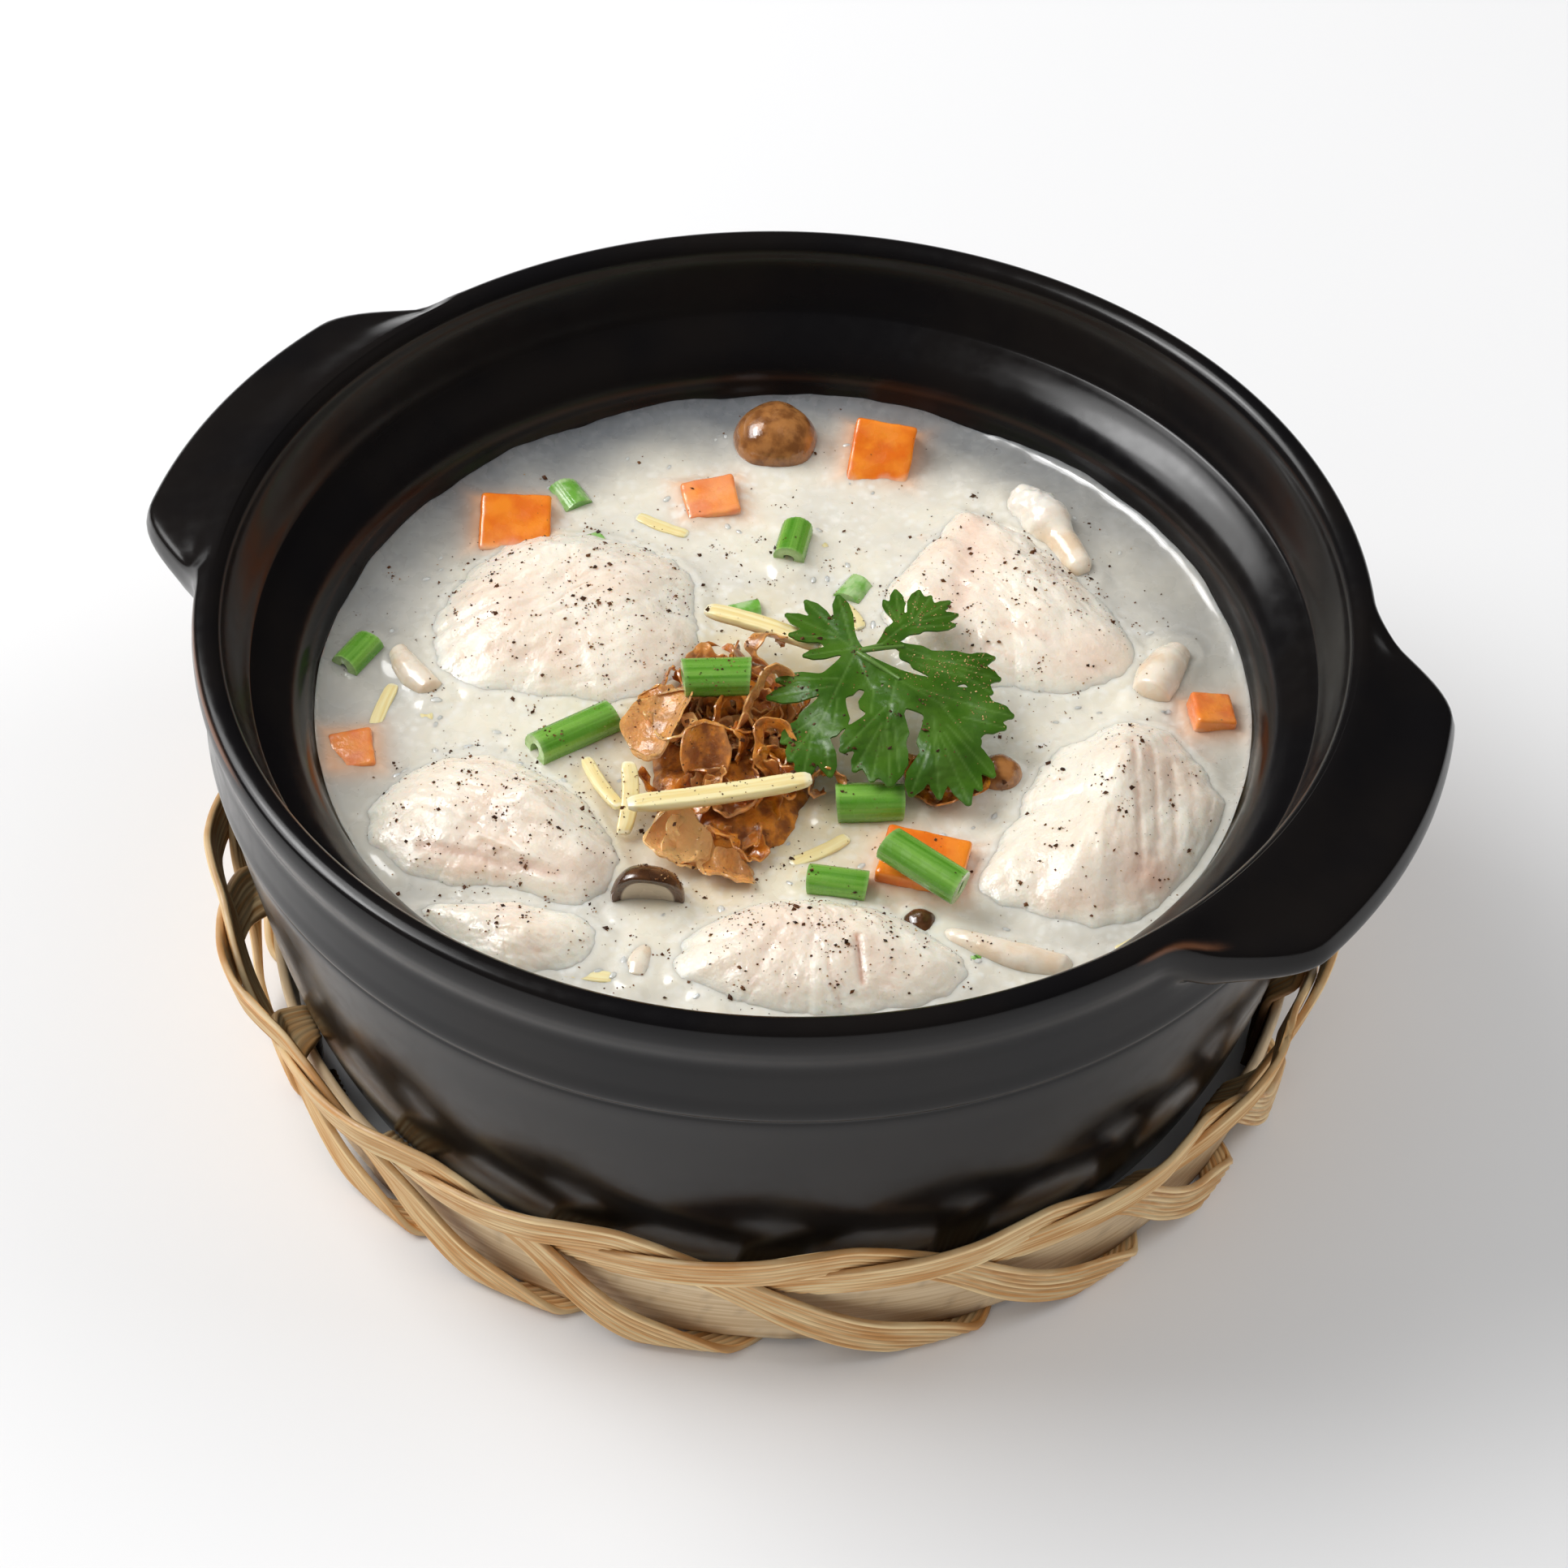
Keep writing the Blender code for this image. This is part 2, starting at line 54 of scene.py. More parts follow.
MM = 0.001  # a millimetre in metres
LEVEL = 68.6  # height of the congee
FORWARD = 3.2  # how much nearer the eater the food lies than it is laid out
INNER_RADIUS = 84.6  # the pot's wall at the congee's level
ROUND = 2.0 * math.pi

Colour = tuple[float, float, float]
Flat = tuple[float, float]
Place = tuple[float, float, float]


# ------------------------------------------------------------------ shape helpers

def ease(low: float, high: float, value: np.ndarray) -> np.ndarray:
    """Ease from 0 at low to 1 at high.

    Args:
        low: Value where the result is 0.
        high: Value where the result is 1.
        value: Values to ease.

    Returns:
        The eased values.
    """
    t = np.clip((np.asarray(value, float) - low) / (high - low), 0.0, 1.0)
    return t * t * (3.0 - 2.0 * t)


def rough(points: np.ndarray, scale: float, octaves: float = 3.0, seed: float = 0.0) -> np.ndarray:
    """Natural unevenness at some points.

    Args:
        points: Points as rows of three numbers.
        scale: Size of the largest bumps.
        octaves: How many finer layers are added.
        seed: Shifts the pattern.

    Returns:
        One value for each point, mostly between -1 and 1.
    """
    flat = np.asarray(points, float).reshape(-1, 3) / scale + seed
    made = [noise.fractal(Vector(p), 1.0, 2.1, octaves, noise_basis="PERLIN_ORIGINAL") for p in flat]
    return np.array(made).reshape(np.asarray(points).shape[:-1])


def spline(knots: Sequence[Sequence[float]], steps: int) -> np.ndarray:
    """Smooth curve through knots, in any number of dimensions.

    Args:
        knots: Points that the curve passes through.
        steps: Points made for each span.

    Returns:
        The curve's points as rows.
    """
    p = np.array(knots, float)
    p = np.vstack([2 * p[0] - p[1], p, 2 * p[-1] - p[-2]])
    gaps = np.maximum(np.linalg.norm(np.diff(p[:, :2], axis=0), axis=1), 1e-6) ** 0.5
    t = np.concatenate([[0.0], np.cumsum(gaps)])
    rows = []
    for i in range(1, len(p) - 2):
        last = i == len(p) - 3
        for s in np.linspace(t[i], t[i + 1], steps + 1)[: None if last else -1]:
            a = [p[j] + (p[j + 1] - p[j]) * (s - t[j]) / (t[j + 1] - t[j]) for j in (i - 1, i, i + 1)]
            b = [
                a[j] + (a[j + 1] - a[j]) * (s - t[i - 1 + j]) / (t[i + 1 + j] - t[i - 1 + j])
                for j in (0, 1)
            ]
            rows.append(b[0] + (b[1] - b[0]) * (s - t[i]) / (t[i + 1] - t[i]))
    return np.array(rows)


def turned(points: np.ndarray, turn: Place, at: Place) -> np.ndarray:
    """Points turned about the origin and then moved.

    Args:
        points: Points as rows of three numbers.
        turn: Angles about X, Y and Z.
        at: Where the origin goes.

    Returns:
        The new points.
    """
    angles = [math.radians(a) for a in turn]
    spin = Matrix.Rotation(angles[2], 3, "Z") @ Matrix.Rotation(angles[1], 3, "Y")
    spin = spin @ Matrix.Rotation(angles[0], 3, "X")
    return np.asarray(points, float) @ np.array(spin).T + np.array(at, float)


def laid(points: np.ndarray, turn: Place, at: Place) -> np.ndarray:
    """Turn a piece's points and set them at a place above the congee's level."""
    return turned(points, turn, (at[0], at[1], LEVEL + at[2]))


def around(columns: int) -> np.ndarray:
    """Even angles round a piece, in radians."""
    return np.arange(columns) * ROUND / columns


def slant(angle: float) -> Flat:
    """Cosine and sine of an angle."""
    return math.cos(math.radians(angle)), math.sin(math.radians(angle))


def bar(start: Place, end: Place) -> tuple[np.ndarray, np.ndarray, np.ndarray, np.ndarray]:
    """Directions of a straight bar.

    Args:
        start: One end.
        end: The other end.

    Returns:
        Its start, its run to the end, and the level and the upright direction across it.
    """
    first = np.array(start, float)
    along = np.array(end, float) - first
    side = np.cross(along, (0.0, 0.0, 1.0))
    side = side / np.linalg.norm(side)
    return first, along, side, np.cross(side, along) / np.linalg.norm(along)


def surface_normals(grid: np.ndarray) -> np.ndarray:
    """Unit normals of a grid of points, from its neighbours.

    Args:
        grid: Points in rows and columns.

    Returns:
        One normal for each point.
    """
    along = np.gradient(grid, axis=0)
    across = np.gradient(grid, axis=1)
    made = np.cross(along, across)
    return made / np.maximum(np.linalg.norm(made, axis=-1, keepdims=True), 1e-9)


@dataclass
class Draft:
    """A piece in the making: its points in millimetres, its faces and what is painted on them.

    Attributes:
        name: Name of the piece.
        closed: True if its faces are to be turned outward.
        sharp: Angle above which an edge is left sharp.
        forward: How much nearer the eater it lies than it is laid out.
    """

    name: str
    closed: bool = True
    sharp: float = 50.0
    forward: float = FORWARD
    points: list[np.ndarray] = field(default_factory=list)
    faces: list[tuple[int, ...]] = field(default_factory=list)
    paints: list[dict[str, np.ndarray]] = field(default_factory=list)
    count: int = 0

    def add(self, points: np.ndarray, faces: Iterable[Sequence[int]], **paint: np.ndarray | float) -> int:
        """Add a loose set of faces.

        Args:
            points: Points as rows.
            faces: Faces as indices of those points.
            **paint: Values by name, one for each point or one for all.

        Returns:
            The index of the first new point.
        """
        start = self.count
        flat = np.asarray(points, float).reshape(-1, 3)
        self.points.append(flat)
        self.faces.extend(tuple(int(i) + start for i in face) for face in faces)
        filled = {k: np.broadcast_to(np.asarray(v, float).reshape(-1), (len(flat),)) for k,
            v in paint.items()}
        self.paints.append(filled)
        self.count += len(flat)
        return start

    def grid(
        self,
        rows: np.ndarray,
        wrap_rows: bool = False,
        wrap_columns: bool = True,
        caps: tuple[bool, bool] = (False, False),
        **paint: np.ndarray | float,
    ) -> int:
        """Add a skin over a grid of points.

        Args:
            rows: Points in rows and columns.
            wrap_rows: True if the last row joins the first.
            wrap_columns: True if the last column joins the first.
            caps: Whether the first and the last row are closed with a fan.
            **paint: Values by name, one for each point or one for all.

        Returns:
            The index of the first new point.
        """
        high, wide = rows.shape[:2]
        index = np.arange(high * wide).reshape(high, wide)
        below = index if wrap_rows else index[:-1]
        above = np.roll(index, -1, 0) if wrap_rows else index[1:]
        left = (below, above) if wrap_columns else (below[:, :-1], above[:, :-1])
        right = tuple(np.roll(part, -1, 1) if wrap_columns else part[:, 1:] for part in (below, above))
        quads = np.stack([left[0], right[0], right[1], left[1]], -1).reshape(-1, 4).tolist()
        values = {k: np.broadcast_to(np.asarray(v, float), (high, wide)).reshape(-1) for k,
            v in paint.items()}
        points = rows.reshape(-1, 3)
        for end, wanted in zip((0, -1), caps):
            if wanted:
                ring = index[end].tolist()
                pole = len(points)
                points = np.vstack([points, points[ring].mean(0)])
                values = {k: np.append(v, v[ring].mean()) for k, v in values.items()}
                quads += [(pole, ring[i], ring[(i + 1) % wide]) for i in range(wide)]
        return self.add(points, quads, **values)

    def make(self, finish: "Finish", slot: str, *replaced: str) -> bpy.types.Object:
        """Turn the draft into a piece of the object.

        Args:
            finish: Finish that the piece gets.
            slot: Name of a material slot; not used.
            *replaced: CAD nodes that the piece stands for.

        Returns:
            The new object.
        """
        data = bpy.data.meshes.new(self.name)
        points = np.vstack(self.points) - np.array([0.0, self.forward, 0.0])
        data.from_pydata((points * MM).tolist(), [], self.faces)
        for name in sorted({k for paint in self.paints for k in paint}):
            values = [p.get(name, np.zeros(len(q))) for p, q in zip(self.paints, self.points)]
            layer = data.attributes.new(name, "FLOAT", "POINT")
            layer.data.foreach_set("value", np.concatenate(values).astype(np.float32))
        if self.closed:
            work = bmesh.new()
            work.from_mesh(data)
            bmesh.ops.recalc_face_normals(work, faces=work.faces)
            work.to_mesh(data)
            work.free()
        data.shade_smooth()
        data.set_sharp_from_angle(angle=math.radians(self.sharp))
        data.materials.append(finish.material())
        made = bpy.data.objects.new(self.name, data)
        bpy.context.scene.collection.objects.link(made)
        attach(made, "root")
        if replaced:
            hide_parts(*replaced)
        LOG.info("%s: %d points, %d faces", self.name, len(data.vertices), len(data.polygons))
        return made


# ------------------------------------------------------------------ material helpers

class Socket(Enum):
    """Kinds of sockets on a shared effect."""

    NUMBER = "NodeSocketFloat"
    COLOUR = "NodeSocketColor"
    VECTOR = "NodeSocketVector"


class Wiring:
    """Adds and joins nodes in one tree."""

    def __init__(self, tree: bpy.types.NodeTree) -> None:
        """Keep the tree.

        Args:
            tree: Tree that the nodes go into.
        """
        self.tree = tree

    def node(self, kind: str, inputs: dict | None = None, **settings: object) -> bpy.types.Node:
        """Add a node.

        Args:
            kind: Blender's name of the node.
            inputs: Values or sockets for its inputs, by name or index.
            **settings: Properties of the node.

        Returns:
            The node.
        """
        made = self.tree.nodes.new(kind)
        for key, value in settings.items():
            setattr(made, key, value)
        for key, value in (inputs or {}).items():
            self.feed(made.inputs[key], value)
        return made

    def feed(self, socket: bpy.types.NodeSocket, value: object) -> None:
        """Give an input a value or join a socket to it.

        Args:
            socket: The input.
            value: A socket, a number, a colour or a vector.
        """
        if isinstance(value, bpy.types.NodeSocket):
            self.tree.links.new(value, socket)
        elif isinstance(value, tuple) and socket.type == "RGBA" and len(value) == 3:
            socket.default_value = (*value, 1.0)
        else:
            socket.default_value = value

    def group(self, effect: bpy.types.NodeTree, inputs: dict) -> bpy.types.bpy_prop_collection:
        """Place a shared effect with its own values.

        Args:
            effect: The effect.
            inputs: Values or sockets for its inputs, by name.

        Returns:
            Its outputs, by name.
        """
        return self.node("ShaderNodeGroup", inputs, node_tree=effect).outputs

    def millimetres(self, stretch: Place = (1.0, 1.0, 1.0)) -> bpy.types.NodeSocket:
        """The point's place in millimetres, each axis stretched."""
        place = self.node("ShaderNodeTexCoord").outputs["Object"]
        scale = tuple(1000.0 * s for s in stretch)
        return self.node("ShaderNodeVectorMath", {0: place, 1: scale}, operation="MULTIPLY").outputs[0]

    def painted(self, name: str) -> bpy.types.NodeSocket:
        """The number painted on the mesh under a name."""
        return self.node("ShaderNodeAttribute", attribute_name=name).outputs["Fac"]

    def noise(self, where: bpy.types.NodeSocket, scale: object, detail: float = 3.0) -> bpy.types.NodeSocket:
        """Soft noise.

        Args:
            where: Coordinates.
            scale: Bumps for each unit, a number or a socket.
            detail: Finer layers.

        Returns:
            The noise value, from 0 to 1.
        """
        inputs = {"Vector": where, "Scale": scale, "Detail": detail}
        return self.node("ShaderNodeTexNoise", inputs).outputs["Fac"]

    def span(
        self, value: bpy.types.NodeSocket, low: float, high: float, start: float = 0.0, end: float = 1.0
    ) -> bpy.types.NodeSocket:
        """Spread a range of values over another range, eased.

        Args:
            value: Values to spread.
            low: Value that becomes start.
            high: Value that becomes end.
            start: Result at low.
            end: Result at high.

        Returns:
            The result.
        """
        inputs = {0: value, 1: low, 2: high, 3: start, 4: end}
        return self.node("ShaderNodeMapRange", inputs, interpolation_type="SMOOTHSTEP").outputs[0]

    def blend(self, share: object, first: object, second: object, how: str = "MIX") -> bpy.types.NodeSocket:
        """Blend two colours.

        Args:
            share: How much of the second shows.
            first: First colour.
            second: Second colour.
            how: Blend mode.

        Returns:
            The blended colour.
        """
        made = self.node("ShaderNodeMix", data_type="RGBA", blend_type=how)
        for key, value in ((0, share), (6, first), (7, second)):
            self.feed(made.inputs[key], value)
        return made.outputs[2]

    def sum(self, first: object, second: object, how: str = "ADD") -> bpy.types.NodeSocket:
        """Combine two numbers with a math operation."""
        return self.node("ShaderNodeMath", {0: first, 1: second}, operation=how).outputs[0]


class Effects:
    """The effects that several finishes share, each built once as a node group."""

    def __init__(self) -> None:
        """Start with none built."""
        self.built: dict[str, bpy.types.NodeTree] = {}

    def _open(self, name: str, inputs: dict[str, tuple[Socket, object]],
        outputs: dict[str, Socket]) -> Wiring:
        """Start a group with its sockets.

        Args:
            name: Name of the effect.
            inputs: Kinds and usual values of its inputs.
            outputs: Kinds of its outputs.

        Returns:
            Wiring for its tree.
        """
        tree = bpy.data.node_groups.new(name, "ShaderNodeTree")
        for key, (kind, usual) in inputs.items():
            made = tree.interface.new_socket(key, in_out="INPUT", socket_type=kind.value)
            if usual is not None:
                made.default_value = usual
        for key, kind in outputs.items():
            tree.interface.new_socket(key, in_out="OUTPUT", socket_type=kind.value)
        self.built[name] = tree
        return Wiring(tree)

    def mottle(self) -> bpy.types.NodeTree:
        """Two colours in soft patches, with fine grain for the relief.

        Returns:
            The group. Inputs: Where, Patch, Grain, First, Second. Outputs: Colour, Mask, Height.
        """
        if "mottle" in self.built:
            return self.built["mottle"]
        sockets = {
            "Where": (Socket.VECTOR, None),
            "Patch": (Socket.NUMBER, 0.15),
            "Grain": (Socket.NUMBER, 1.2),
            "First": (Socket.COLOUR, (0.8, 0.8, 0.8, 1.0)),
            "Second": (Socket.COLOUR, (0.5, 0.5, 0.5, 1.0)),
        }
        results = {"Colour": Socket.COLOUR, "Mask": Socket.NUMBER, "Height": Socket.NUMBER}
        w = self._open("mottle", sockets, results)
        given = w.node("NodeGroupInput").outputs
        mask = w.span(w.noise(given["Where"], given["Patch"], 4.0), 0.36, 0.64)
        grain = w.noise(given["Where"], given["Grain"], 4.0)
        out = w.node("NodeGroupOutput")
        w.feed(out.inputs["Colour"], w.blend(mask, given["First"], given["Second"]))
        w.feed(out.inputs["Mask"], mask)
        w.feed(out.inputs["Height"], grain)
        return w.tree

    def fibres(self) -> bpy.types.NodeTree:
        """Lengthwise fibres between two painted coordinates.

        Returns:
            The group. Inputs: Across, Along, Fine, Light, Dark. Outputs: Colour, Height.
        """
        if "fibres" in self.built:
            return self.built["fibres"]
        sockets = {
            "Across": (Socket.NUMBER, 0.0),
            "Along": (Socket.NUMBER, 0.0),
            "Fine": (Socket.NUMBER, 1.6),
            "Light": (Socket.COLOUR, (0.7, 0.5, 0.3, 1.0)),
            "Dark": (Socket.COLOUR, (0.3, 0.15, 0.06, 1.0)),
        }
        w = self._open("fibres", sockets, {"Colour": Socket.COLOUR, "Height": Socket.NUMBER})
        given = w.node("NodeGroupInput").outputs
        slow = w.sum(given["Along"], 0.035, "MULTIPLY")
        where = w.node("ShaderNodeCombineXYZ", {0: given["Across"], 1: slow}).outputs[0]
        value = w.noise(where, given["Fine"], 5.0)
        out = w.node("NodeGroupOutput")
        w.feed(out.inputs["Colour"], w.blend(w.span(value, 0.34, 0.66), given["Dark"], given["Light"]))
        w.feed(out.inputs["Height"], value)
        return w.tree

    def wetness(self) -> bpy.types.NodeTree:
        """Patches where a wet film makes a surface smoother.

        Returns:
            The group. Inputs: Where, Wet, Dry. Output: Roughness.
        """
        if "wetness" in self.built:
            return self.built["wetness"]
        sockets = {
            "Where": (Socket.VECTOR, None),
            "Wet": (Socket.NUMBER, 0.12),
            "Dry": (Socket.NUMBER, 0.45),
        }
        w = self._open("wetness", sockets, {"Roughness": Socket.NUMBER})
        given = w.node("NodeGroupInput").outputs
        value = w.noise(given["Where"], 0.22, 3.0)
        made = w.node("ShaderNodeMapRange", {0: value, 1: 0.4, 2: 0.62, 3: given["Wet"], 4: given["Dry"]})
        out = w.node("NodeGroupOutput")
        w.feed(out.inputs["Roughness"], made.outputs[0])
        return w.tree


EFFECTS = Effects()


@dataclass(frozen=True)
class Finish:
    """A finish. The subclasses say how its colour, roughness and relief vary.

    Attributes:
        name: Name of its material.
        bump: Strength of the relief.
        depth: Height of the relief in millimetres.
        scatter: How much light spreads inside, from 0 to 1.
        spread: How far it spreads, in millimetres, for red, green and blue.
        coat: Weight of a clear wet coat.
        specular: Strength of the plain reflection.
    """

    name: str
    bump: float = 0.5
    depth: float = 0.2
    scatter: float = 0.0
    spread: Colour = (1.0, 0.6, 0.4)
    coat: float = 0.0
    specular: float = 0.5

    def material(self) -> bpy.types.Material:
        """The material, made on its first use."""
        found = bpy.data.materials.get(self.name)
        if found:
            return found
        made = bpy.data.materials.new(self.name)
        made.use_nodes = True
        made.node_tree.nodes.clear()
        w = Wiring(made.node_tree)
        shader = w.node("ShaderNodeBsdfPrincipled")
        shader.inputs["Specular IOR Level"].default_value = self.specular
        shader.inputs["Coat Weight"].default_value = self.coat
        shader.inputs["Coat Roughness"].default_value = 0.08
        shader.inputs["Subsurface Weight"].default_value = self.scatter
        shader.inputs["Subsurface Radius"].default_value = self.spread
        shader.inputs["Subsurface Scale"].default_value = MM
        colour, roughness, height = self.look(w)
        w.feed(shader.inputs["Base Color"], colour)
        w.feed(shader.inputs["Roughness"], roughness)
        if height is not None:
            inputs = {"Strength": self.bump, "Distance": self.depth * MM, "Height": height}
            w.feed(shader.inputs["Normal"], w.node("ShaderNodeBump", inputs).outputs[0])
        out = w.node("ShaderNodeOutputMaterial")
        w.feed(out.inputs["Surface"], shader.outputs[0])
        return made

    def look(self, w: Wiring) -> tuple[object, object, object]:
        """How the surface varies.

        Args:
            w: Wiring of the material.

        Returns:
            Its colour, roughness and height.
        """
        raise NotImplementedError


@dataclass(frozen=True)
class Glaze(Finish):
    """Satin black glaze, brown where it has run thin on an edge, with a painted brownish reflection on the
    inner wall.
    """

    colour: Colour = (0.006, 0.0055, 0.006)
    patches: Colour = (0.009, 0.0075, 0.007)
    brown: Colour = (0.15, 0.062, 0.03)

    def look(self, w: Wiring) -> tuple[object, object, object]:
        """Black with faint patches, brown where thin and where a reflection is painted, and a fine orange
        peel.
        """
        where = w.millimetres()
        mottle = w.group(EFFECTS.mottle(), {
            "Where": where, "Patch": 0.03, "Grain": 2.4, "First": self.colour, "Second": self.patches,
        })
        # Brown where the glaze is thin, and where a brownish reflection is painted on the inner wall.
        thin = w.sum(w.painted("thin"), w.span(w.noise(where, 0.05, 2.0), 0.3, 0.7, 0.75, 1.0), "MULTIPLY")
        colour = w.blend(w.span(thin, 0.05, 0.9), mottle["Colour"], self.brown)
        roughness = w.span(w.noise(where, 0.3, 3.0), 0.3, 0.7, 0.17, 0.23)
        return colour, roughness, mottle["Height"]


@dataclass(frozen=True)
class Fibrous(Finish):
    """Bamboo, ginger or leaf skin with fibres along it; its cut ends, bark and painted shade differ where
    painted.
    """

    light: Colour = (0.98, 0.75, 0.41)
    dark: Colour = (0.68, 0.33, 0.1)
    # The usual deep colour is the bamboo strip's painted shade.
    deep: Colour = (0.075, 0.032, 0.012)
    fine: float = 1.6
    wear: float = 0.3
    smooth: float = 0.42

    def look(self, w: Wiring) -> tuple[object, object, object]:
        """Streaks between two colours, shaded where painted, with lengthwise relief."""
        where = w.millimetres()
        fibres = w.group(EFFECTS.fibres(), {
            "Across": w.painted("across"), "Along": w.painted("along"), "Fine": self.fine,
            "Light": self.light, "Dark": self.dark,
        })
        patch = w.span(w.noise(where, 0.07, 3.0), 0.35, 0.7, 0.0, self.wear)
        colour = w.blend(patch, fibres["Colour"], self.dark)
        colour = w.blend(w.painted("deep"), colour, self.deep)
        roughness = w.span(w.noise(where, 0.6, 3.0), 0.3, 0.7, self.smooth, self.smooth + 0.16)
        return colour, roughness, fibres["Height"]


@dataclass(frozen=True)
class Moist(Finish):
    """Moist food in two mottled colours, with a third where it is painted."""

    first: Colour = (0.8, 0.8, 0.8)
    second: Colour = (0.7, 0.7, 0.7)
    third: Colour = (0.5, 0.5, 0.5)
    patch: float = 0.15
    grain: float = 1.2
    wet: float = 0.14
    dry: float = 0.42

    def look(self, w: Wiring) -> tuple[object, object, object]:
        """Mottled colours, wet patches and fine grain."""
        where = w.millimetres()
        mottle = w.group(EFFECTS.mottle(), {
            "Where": where, "Patch": self.patch, "Grain": self.grain,
            "First": self.first, "Second": self.second,
        })
        film = w.group(EFFECTS.wetness(), {"Where": where, "Wet": self.wet, "Dry": self.dry})
        # Where painted, the third colour: the food's own colour, except in the congee, where it is painted
        # shade at the wall.
        colour = w.blend(w.painted("tint"), mottle["Colour"], self.third)
        return colour, film["Roughness"], mottle["Height"]


@dataclass(frozen=True)
class Porridge(Moist):
    """Rice porridge: pale broken grain in a milky skin, stained by the garnish, with painted shade at the
    wall and a painted glow round the carrots.
    """

    stain: Colour = (0.8, 0.68, 0.43)
    pale: Colour = (0.9, 0.885, 0.83)
    # Colour of the painted glow of light from the carrots.
    orange: Colour = (0.85, 0.42, 0.2)

    def look(self, w: Wiring) -> tuple[object, object, object]:
        """Milky patches, greyer at the wall (painted shade of the wall, partly the broth's own grey), warm
        near the crisps, with a painted orange glow round the carrots and pale broken grain.
        """
        colour, roughness, _ = Moist.look(self, w)
        where = w.millimetres()
        stir = w.node("ShaderNodeTexNoise", {"Vector": where, "Scale": 0.7}).outputs["Color"]
        bent = w.node("ShaderNodeVectorMath", {0: where, 1: stir}, operation="ADD").outputs[0]
        cells = w.node("ShaderNodeTexVoronoi", {"Vector": bent, "Scale": 0.62}, feature="SMOOTH_F1")
        grain = w.span(cells.outputs["Distance"], 0.12, 0.6, 1.0, 0.0)
        dense = w.span(w.noise(where, 0.16, 4.0), 0.35, 0.68, 0.08, 0.6)
        colour = w.blend(w.painted("stain"), colour, self.stain)
        # Painted orange glow of light from the carrots.
        colour = w.blend(w.painted("blush"), colour, self.orange)
        # Painted shade at the wall calms the grain.
        calm = w.span(w.painted("tint"), 0.02, 0.4, 1.0, 0.12)
        grain = w.sum(grain, calm, "MULTIPLY")
        colour = w.blend(w.sum(grain, dense, "MULTIPLY"), colour, self.pale)
        return colour, roughness, grain


@dataclass(frozen=True)
class Flesh(Moist):
    """Poached fish, whose edge is washed over by the porridge."""

    wash: Colour = (0.83, 0.785, 0.67)

    def look(self, w: Wiring) -> tuple[object, object, object]:
        """Pale flesh with pinkish lines, milky towards its edge."""
        colour, roughness, height = Moist.look(self, w)
        return w.blend(w.painted("wash"), colour, self.wash), roughness, height


@dataclass(frozen=True)
class Speck(Finish):
    """Ground pepper: black, brown and pale bits, by what is painted on each."""

    def look(self, w: Wiring) -> tuple[object, object, object]:
        """A colour for each bit."""
        ramp = w.node("ShaderNodeValToRGB", {0: w.painted("kind")})
        stops = ((0.0, (0.03, 0.013, 0.006)), (0.45, (0.095, 0.034, 0.012)), (0.75, (0.24, 0.1, 0.032)))
        for place, colour in stops:
            stop = ramp.color_ramp.elements[0] if place == 0.0 else ramp.color_ramp.elements.new(place)
            stop.position = place
            stop.color = (*colour, 1.0)
        ramp.color_ramp.elements[-1].color = (0.62, 0.42, 0.18, 1.0)
        roughness = w.span(w.noise(w.millimetres(), 3.0), 0.3, 0.7, 0.45, 0.8)
        return ramp.outputs["Color"], roughness, None


GLAZE = Glaze("black_glaze_satin", bump=0.02, depth=0.03, specular=0.23)
STRIP = Fibrous("bamboo_strip_ribbed", bump=0.5, depth=0.12, fine=1.5, wear=0.2)
HOOP = Fibrous(
    "bamboo_hoop_scraped", bump=0.25, depth=0.08, fine=0.9, light=(0.8, 0.63, 0.41), dark=(0.64, 0.46, 0.26),
    deep=(0.12, 0.06, 0.035), wear=0.2, smooth=0.45,
)
# The congee's third colour is painted shade at the wall, partly the broth's own grey.
CONGEE = Porridge(
    "congee_milky", bump=0.1, depth=0.2, scatter=0.7, spread=(3.0, 2.6, 2.2), first=(0.82, 0.77, 0.645),
    second=(0.74, 0.705, 0.615), third=(0.165, 0.175, 0.19), patch=0.06, grain=1.6, wet=0.22, dry=0.4,
    coat=0.8,
)
FISH = Flesh(
    "fish_poached", bump=0.45, depth=0.3, scatter=0.75, spread=(3.4, 2.6, 2.0), first=(0.87, 0.82, 0.71),
    second=(0.85, 0.755, 0.63), third=(0.78, 0.53, 0.4), patch=0.09, grain=1.5, wet=0.16, dry=0.42,
)
CARROT = Moist(
    "carrot_cut", bump=0.4, depth=0.2, scatter=0.25, spread=(1.6, 0.6, 0.2), first=(0.9, 0.27, 0.022),
    second=(0.78, 0.17, 0.012), third=(0.86, 0.7, 0.56), patch=0.2, grain=1.5, wet=0.16, dry=0.36, coat=0.6,
)
CAP = Moist(
    "mushroom_cap_wet", bump=0.35, depth=0.2, scatter=0.15, first=(0.4, 0.17, 0.05),
    second=(0.2, 0.075, 0.022),
    third=(0.66, 0.5, 0.34), patch=0.35, grain=2.0, wet=0.12, dry=0.3, coat=0.7,
)
DARK_CAP = Moist(
    "mushroom_cap_dark", bump=0.35, depth=0.2, scatter=0.1, first=(0.13, 0.055, 0.022),
    second=(0.06, 0.024, 0.01),
    third=(0.74, 0.62, 0.47), patch=0.35, grain=2.0, wet=0.12, dry=0.3, coat=0.7,
)
STEM = Moist(
    "mushroom_flesh_wet", bump=0.3, depth=0.2, scatter=0.4, spread=(1.5, 1.0, 0.7), first=(0.84, 0.75, 0.62),
    second=(0.76, 0.6, 0.43), third=(0.88, 0.86, 0.8), patch=0.2, grain=1.3, wet=0.14, dry=0.36, coat=0.7,
)
